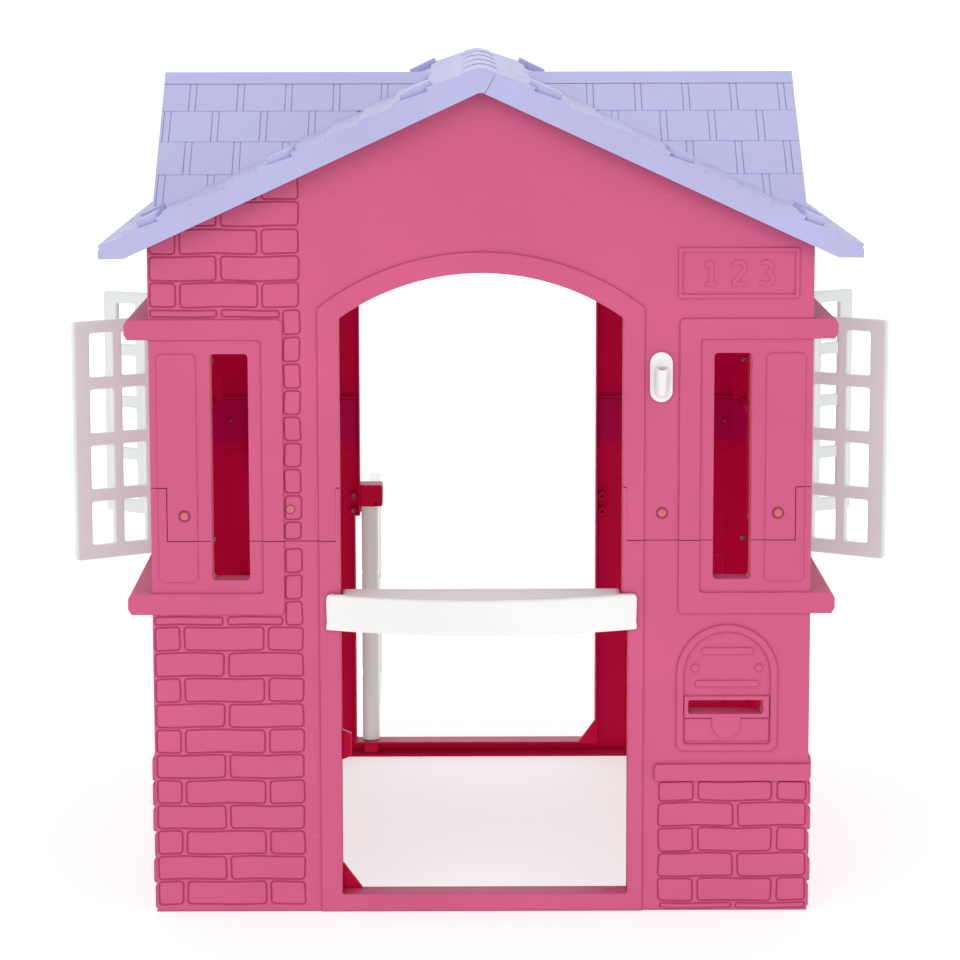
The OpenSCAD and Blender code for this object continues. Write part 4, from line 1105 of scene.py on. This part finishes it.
# ------------------------------------------------------------------ counter
def counter():
    s = Solid()
    n = 28
    bow = lambda x: -HD - 9 - 46 * (1 - (x / 231.0) ** 2)
    plan = [(231.0 * (-1 + 2 * i / n), bow(231.0 * (-1 + 2 * i / n))) for i in range(n + 1)]
    plan += [(231, -HD - 3.4), (208.5, -HD - 3.4), (208.5, -HD + WT), (-208.5, -HD + WT), (-208.5, -HD - 3.4), (-231, -HD - 3.4)]
    radii = [6 if abs(abs(p[0]) - 231) < 0.1 and p[1] < -HD - 5 else 0 for p in plan]
    plan_t = tidy(plan)
    m = lambda x, y, d: (x, y, d)
    # outer skin: rounded top edge, drafted lip, small flared bead at the bottom; hollow underneath
    inner = [(x * 0.978, y + 4.2 if y < -HD - 5 else y) for x, y in plan_t]
    prof = [(7.5, 489.0), (4.6, 488.4), (2.4, 487.0), (0.9, 484.6), (0.2, 481.6), (0.35, 470), (0.9, 446.0), (0.3, 443.2), (0.0, 440.6), (0.15, 436.4), (0.9, 435.1), (2.6, 435.0), (3.6, 435.9), (4.0, 440.0), (4.4, 484.6), (5.6, 485.6)]
    r2 = [offset(plan_t, -o) for o, _ in prof]
    ri = [s.loop(r, z, m) for r, (_, z) in zip(r2, prof)]
    for a, b in zip(ri, ri[1:]):
        s.strip(a, b)
    s.cap([ri[0]], [r2[0]])
    s.cap([ri[-1]], [r2[-1]])
    for x in (-120, 0, 120):
        s.slab(rect(bow(x) + 3.5, 459, -HD + WT - 3, 487), x - 1.5, x + 1.5, lambda a, z, d: (d, a, z), 0.4, 0.4)
    for sgn in (-1, 1):
        for z in (447, 474):
            s.lathe([(0, -9.9), (6.0, -9.9), (6.5, -9.4), (6.5, -3.4), (2.5, -3.4), (2.5, -7.5), (0, -7.5)], lambda a, b, h, sgn=sgn, z=z: (sgn * 221 + a, -HD + h, z + b))
        x1, x2 = (206, 213) if sgn > 0 else (-213, -206)
        s.slab(rect(x1, 453, x2, 469, 1.0, 2), 13, 29, on_front, 0.8, 0.8)
    s.build("vis_counter_shelf", "house", ["counter_shelf"], WHITE, "white_plastic")


# ------------------------------------------------------------------ flag holder
def flag_holder():
    s = Solid()
    x0 = 265.7
    stad = [(x0 + 16.8 * math.cos(math.pi * i / 14), 833 + 16.8 * math.sin(math.pi * i / 14)) for i in range(15)]
    stad += [(x0 + 16.8 * math.cos(math.pi + math.pi * i / 14), 792 + 16.8 * math.sin(math.pi * i / 14 + math.pi)) for i in range(15)]
    s.slab(tidy(stad), -4, 0, on_front, 1.4, 0.3)
    for z in (788, 838):
        s.lathe([(0, -1), (3.5, -1), (3.5, 6), (2.6, 7), (0, 7)], lambda a, b, h, z=z: (x0 + a, -HD + h, z + b), 20)
    t = math.radians(22)
    o = Vector((x0, -HD - 4, 790))
    ax = Vector((0, -math.sin(t), math.cos(t)))
    ex = Vector((1, 0, 0))
    ey = ax.cross(ex)
    put = lambda a, b, h: tuple(o + ax * h + ex * a + ey * b)
    # tube with a rounded foot and an open mouth
    prof = [(0, -7.5), (3.5, -7.0), (6.6, -5.2), (8.6, -2.0), (9.25, 2.0), (9.25, 40.4), (8.9, 41.5), (8.0, 42.0), (7.0, 41.8), (6.2, 41.0), (6.0, 39.8), (6.0, 14.0), (0, 14.0)]
    k = len(s.v)
    s.lathe(prof, put, 32)
    # keep the part that would go through the plate inside the plate's own thickness
    for i in range(k, len(s.v)):
        v = s.v[i]
        if v.y > (-HD - 1.0) * MM:
            v.y = (-HD - 1.0) * MM
    s.build("vis_flag_holder", "house", ["flag_holder"], WHITE, "white_plastic", 30)


# ------------------------------------------------------------------ bracket, door
def bracket():
    s = Solid()
    # block in the jamb, with a small arched recess under its front edge
    arch_ = [(-185.6, 456.5), (-178.4, 456.5), (-178.4, 461.5)] + [(-182 + 3.6 * math.cos(math.pi * i / 8), 461.5 + 3.6 * math.sin(math.pi * i / 8)) for i in range(9)] + [(-185.6, 461.5)]
    on_inner = lambda x, z, d: (x, HD - WT + 2 + d, z)
    outline = [(-209.7, 456.5), (-170, 456.5), (-170, 495), (-209.7, 495)]
    notch = rounded(outline, [1, 3, 4, 1], 4)
    s.slab(notch, 0, 45, on_inner, 1.6, 1.6, front=[(rect(-184.4, 458.6, -179.0, 464.8, 2.4, 4), [(0.6, 0), (0.2, 0.3), (0, 0.9), (0, 9.0)], [])])
    lug = rounded([(-236, 440), (-208, 440), (-208, 495), (-236, 495)], [5, 2, 2, 5], 4)
    s.slab(lug, HD + 3.3, HD + 9, lambda x, z, d: (x, d, z), 0.5, 1.6)
    # boss round the top pivot hole
    s.lathe([(6.05, 456.45), (11.0, 456.45), (11.0, 455.6), (10.4, 455.3), (6.4, 455.3), (6.05, 455.6), (6.05, 456.45)], lambda a, b, h: (-193 + a * 0.99, 465 + b * 0.99, h + 1.1), 28)
    s.build("vis_door_bracket", "house", ["door_bracket"], PINK, "wall_plastic")


def half_door():
    s = Solid()
    hx, hy = -193.0, 465.0
    place = lambda u, z, d: (hx - 10 + d, hy + u, z)
    REC = [(0.8, 0.0), (0.2, 0.25), (-0.2, 0.9), (-0.8, 3.2), (-1.4, 3.8), (-2.4, 4.0)]
    REC_B = [(a, 20 - d) for a, d in REC]
    RIB = [(0.6, 4.0), (0.1, 3.8), (-0.2, 3.2), (-0.5, 2.0), (-1.2, 1.5)]
    RIB_B = [(a, 20 - d) for a, d in RIB]
    panels = [rect(45, 72.5, 345, 225, 10, 5), rect(45, 255, 345, 412, 10, 5)]
    ribs = [rect(60, 87.5, 330, 210, 7, 4), rect(60, 270, 330, 397, 7, 4)]
    s.slab(rounded([(6, 32.5), (385, 32.5), (385, 452), (6, 452)], [1, 9, 9, 1], 5), 0, 20, place, 2.6, 2.6,
           front=[(p, REC, [(q, RIB, [])]) for p, q in zip(panels, ribs)],
           back=[(p, REC_B, [(q, RIB_B, [])]) for p, q in zip(panels, ribs)])
    # barrel with chamfered ends, shallow waists, and the two pins
    prof = [(0, 12.1), (4.8, 12.1), (5.82, 13.4), (5.82, 28.4), (13.6, 28.5), (14.6, 28.9), (15, 29.9)]
    for z in (150, 334):
        prof += [(15, z - 5), (14.4, z - 4), (14.4, z + 4), (15, z + 5)]
    prof += [(15, 453.6), (14.6, 454.6), (13.6, 455), (5.82, 455.1), (5.82, 466.8), (4.8, 468), (0, 468)]
    s.lathe(prof, lambda a, b, h: (hx + a, hy + b, h), 40)
    s.build("vis_half_door", "half_door", ["half_door"], LEAF, "white_plastic")


# ------------------------------------------------------------------ shutters
def shutter(sgn, f, name):
    s = Solid()
    th = math.radians(90 - sgn * 121 if f > 0 else -90 + sgn * 121)
    ox, oy = sgn * (HW + 14), -f * 153.0
    c, n = math.cos(th), math.sin(th)
    put = lambda u, z, t: (ox + c * u - n * t, oy + n * u + c * t, z)
    z0, z1 = 490.5, 867.5
    w = 151.0
    pane_h = (z1 - z0 - 42.5 - 3 * 19.5) / 4
    cols = [w - 28 - 38, w - 28 - 38 - 17 - 38]
    holes = []
    for cc in cols:
        for i in range(4):
            zz = z0 + 22.5 + i * (pane_h + 19.5)
            holes.append(rect(cc, zz, cc + 38, zz + pane_h, 3.5, 4))
    outer = rounded([(-6, z0), (w, z0), (w, z1), (-6, z1)], [5.5, 6, 6, 5.5], 5)

    def edge(across, deep, seg=4):
        e = [(across * (1 - math.sin(math.pi / 2 * j / seg)), -5.5 + deep * (1 - math.cos(math.pi / 2 * j / seg))) for j in range(seg + 1)]
        return e + [(o, -d) for o, d in e[::-1]]

    # full rounding along the outer rim, a smaller one round each pane
    s.body(outer, holes, edge(2.9, 2.9), put, rim=edge(4.6, 3.9))
    s.lathe([(0, z0 - 11), (3.2, z0 - 11), (4, z0 - 10), (4, z0 + 3)], lambda a, b_, h: (ox + a, oy + b_, h), 20)
    s.f.append(tuple(range(len(s.v) - 20, len(s.v))))
    s.lathe([(0, z1 + 11), (3.2, z1 + 11), (4, z1 + 10), (4, z1 - 3)], lambda a, b_, h: (ox + a, oy + b_, h), 20)
    s.f.append(tuple(range(len(s.v) - 20, len(s.v))))
    s.build("vis_" + name, name, [name], LEAF, "white_plastic")


# ------------------------------------------------------------------ fasteners
def cap_screws(name, place, pts, relief):
    """Round cap heads with a ring groove and a small dimple."""
    s = Solid()
    for x, z in pts:
        d0 = -relief(x)
        for r, h in ((0, 0),):
            prof = [(0, -1.6), (1.6, -1.6), (2.1, -1.95), (4.4, -2.0), (5.3, -1.8), (5.8, -1.3), (5.9, -0.25), (6.5, -0.1), (6.7, -0.9), (7.0, -0.9), (7.2, -0.4), (7.2, 0.0), (2.45, 0.0), (2.45, 17.2), (1.6, 18), (0, 18)]
            s.lathe(prof, lambda a, b, h, x=x, z=z, d0=d0: place(x + a, z + b, h + (d0 if h < 0.2 else 0)), 28)
    s.build("vis_" + name, "house", [name], CAP, "screw_cap", 30)


def pan_heads(name, spots):
    """Pan-head screws with a cross recess drawn as a dished centre; each spot is (origin, axis, length)."""
    s = Solid()
    for o, ax, length in spots:
        o, ax = Vector(o), Vector(ax).normalized()
        ex = Vector((0, 0, 1)) if abs(ax.z) < 0.9 else Vector((1, 0, 0))
        ey = ax.cross(ex)
        put = lambda a, b, h: tuple(o + ax * h + ex * a + ey * b)
        # h > 0 is the head's side
        prof = [(0, 1.4), (1.2, 1.5), (1.8, 2.7), (3.2, 2.9), (4.3, 2.4), (4.85, 1.5), (5, 0.6), (5, 0), (2.45, 0)]
        z = 0.0
        while z < length - 3:
            prof += [(2.45, -z - 0.5), (2.0, -z - 1.1), (2.45, -z - 1.7)]
            z += 1.9
        prof += [(2.2, -length + 0.8), (0.4, -length), (0, -length)]
        s.lathe(prof, put, 22)
    s.build("vis_" + name, "house", [name], STEEL, "screw_steel", 30)


# ------------------------------------------------------------------ assemble
end_wall(on_front, 1, ["front_wall_lower", "front_wall_upper"], "front", None, None)
end_wall(on_back, -1, ["back_wall_lower", "back_wall_upper"], "back", None, None)
side_wall(on_left, ["left_wall_lower", "left_wall_upper"])
side_wall(on_right, ["right_wall_lower", "right_wall_upper"])
roof_half(-1, ["roof_left"], "left")
roof_half(1, ["roof_right"], "right")
counter()
flag_holder()
bracket()
half_door()
shutter(-1, 1, "shutter_front_left")
shutter(-1, -1, "shutter_rear_left")
shutter(1, 1, "shutter_front_right")
shutter(1, -1, "shutter_rear_right")
panel = [(-440, 606), (-283, 616), (268, 609), (440, 609)]
relief = lambda x: 2.0 if 420 < abs(x) < 480 else 0.0
cap_screws("front_panel_screws", on_front, panel, relief)
cap_screws("back_panel_screws", on_back, panel, relief)
sides = [(-390, 608), (-262, 608), (262, 608), (390, 608)]
cap_screws("left_panel_screws", on_left, sides, lambda x: 0)
cap_screws("right_panel_screws", on_right, sides, lambda x: 0)
pan_heads("corner_screws", [((sx * (HW - WT / 2), f * (SIDE_HW - 3), z), (0, -f, 0), 15.5) for sx in (-1, 1) for f in (-1, 1) for z in (110, 400, 720, 960)])
pan_heads("counter_screws", [((sx * 221, -HD + 30, z), (0, 1, 0), 38) for sx in (-1, 1) for z in (447, 474)])
pan_heads("bracket_screws", [((-221, HD - 30, z), (0, -1, 0), 38) for z in (447, 474)])


# ------------------------------------------------------------------ setting
floor_me = bpy.data.meshes.new("floor")
prof = [(-14.0, -0.0004), (7.6, -0.0004)] + [(7.6 + 2.0 * math.sin(math.pi / 2 * i / 12), 2.0 - 2.0 * math.cos(math.pi / 2 * i / 12)) for i in range(1, 13)] + [(9.6, 7.0)]
fv = [(x, y, z) for y, z in prof for x in (-14.0, 14.0)]
floor_me.from_pydata(fv, [], [(2 * i, 2 * i + 1, 2 * i + 3, 2 * i + 2) for i in range(len(prof) - 1)])
floor_me.shade_smooth()
floor = bpy.data.objects.new("floor", floor_me)
bpy.context.scene.collection.objects.link(floor)
fm = bpy.data.materials.new("floor_pale")
fm.use_nodes = True
fb = fm.node_tree.nodes["Principled BSDF"]
fb.inputs["Base Color"].default_value = (0.42, 0.43, 0.43, 1)
fb.inputs["Emission Color"].default_value = (1, 1, 1, 1)
fb.inputs["Emission Strength"].default_value = 0.66
fb.inputs["Roughness"].default_value = 0.75
floor_me.materials.append(fm)
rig.stage(floor)

world = bpy.data.worlds.new("studio")
world.use_nodes = True
world.node_tree.nodes["Background"].inputs[0].default_value = (1.0, 1.0, 1.0, 1)
world.node_tree.nodes["Background"].inputs[1].default_value = 0.72
bpy.context.scene.world = world


def area(name, loc, target, size, power):
    l = bpy.data.lights.new(name, "AREA")
    l.shape = "SQUARE"
    l.size = size
    l.energy = power
    o = bpy.data.objects.new(name, l)
    o.location = loc
    o.rotation_mode = "QUATERNION"
    o.rotation_quaternion = (Vector(target) - Vector(loc)).to_track_quat("-Z", "Y")
    bpy.context.scene.collection.objects.link(o)
    return o


area("key", (-2.4, -4.6, 3.4), (0, 0, 0.6), 2.8, 62)
area("fill", (3.2, -4.4, 2.2), (0, 0, 0.6), 2.8, 34)
area("top", (0.0, 0.6, 5.0), (0, 0, 1.1), 3.0, 34)
area("backdrop_light", (0, 5.2, 4.6), (0, 9.4, 2.2), 3.6, 210)

# ------------------------------------------------------------------ camera
pitch, yaw, roll = 0.13964, -0.00313, 0.0021
cp, sp, cy, sy = math.cos(pitch), math.sin(pitch), math.cos(yaw), math.sin(yaw)
R = Vector((cy, sy, 0))
F = Vector((-sy * cp, cy * cp, -sp))
U = Vector((-sy * sp, cy * sp, cp))
cr, sr = math.cos(roll), math.sin(roll)
R2, U2 = R * cr - U * sr, R * sr + U * cr
cam_d = bpy.data.cameras.new("camera")
cam_d.lens = 3156.82 * 36 / 960
cam_d.sensor_width = 36
cam_d.shift_x = 9.256 / 960
cam_d.shift_y = -85 / 960
cam_d.clip_start, cam_d.clip_end = 0.1, 60
cam = bpy.data.objects.new("camera", cam_d)
M4 = Matrix((R2, U2, -F)).transposed().to_4x4()
M4.translation = Vector((-0.02976, -5.09164, 1.43458))
cam.matrix_world = M4
bpy.context.scene.collection.objects.link(cam)
bpy.context.scene.camera = cam
bpy.context.scene.view_settings.view_transform = "Standard"
bpy.context.scene.view_settings.look = "None"

box_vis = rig.bounds()
with open("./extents.json", "w") as fh:
    json.dump({"cad": [[round(c, 5) for c in v] for v in box_cad],
               "shown": [[round(c, 5) for c in v] for v in box_vis]}, fh)
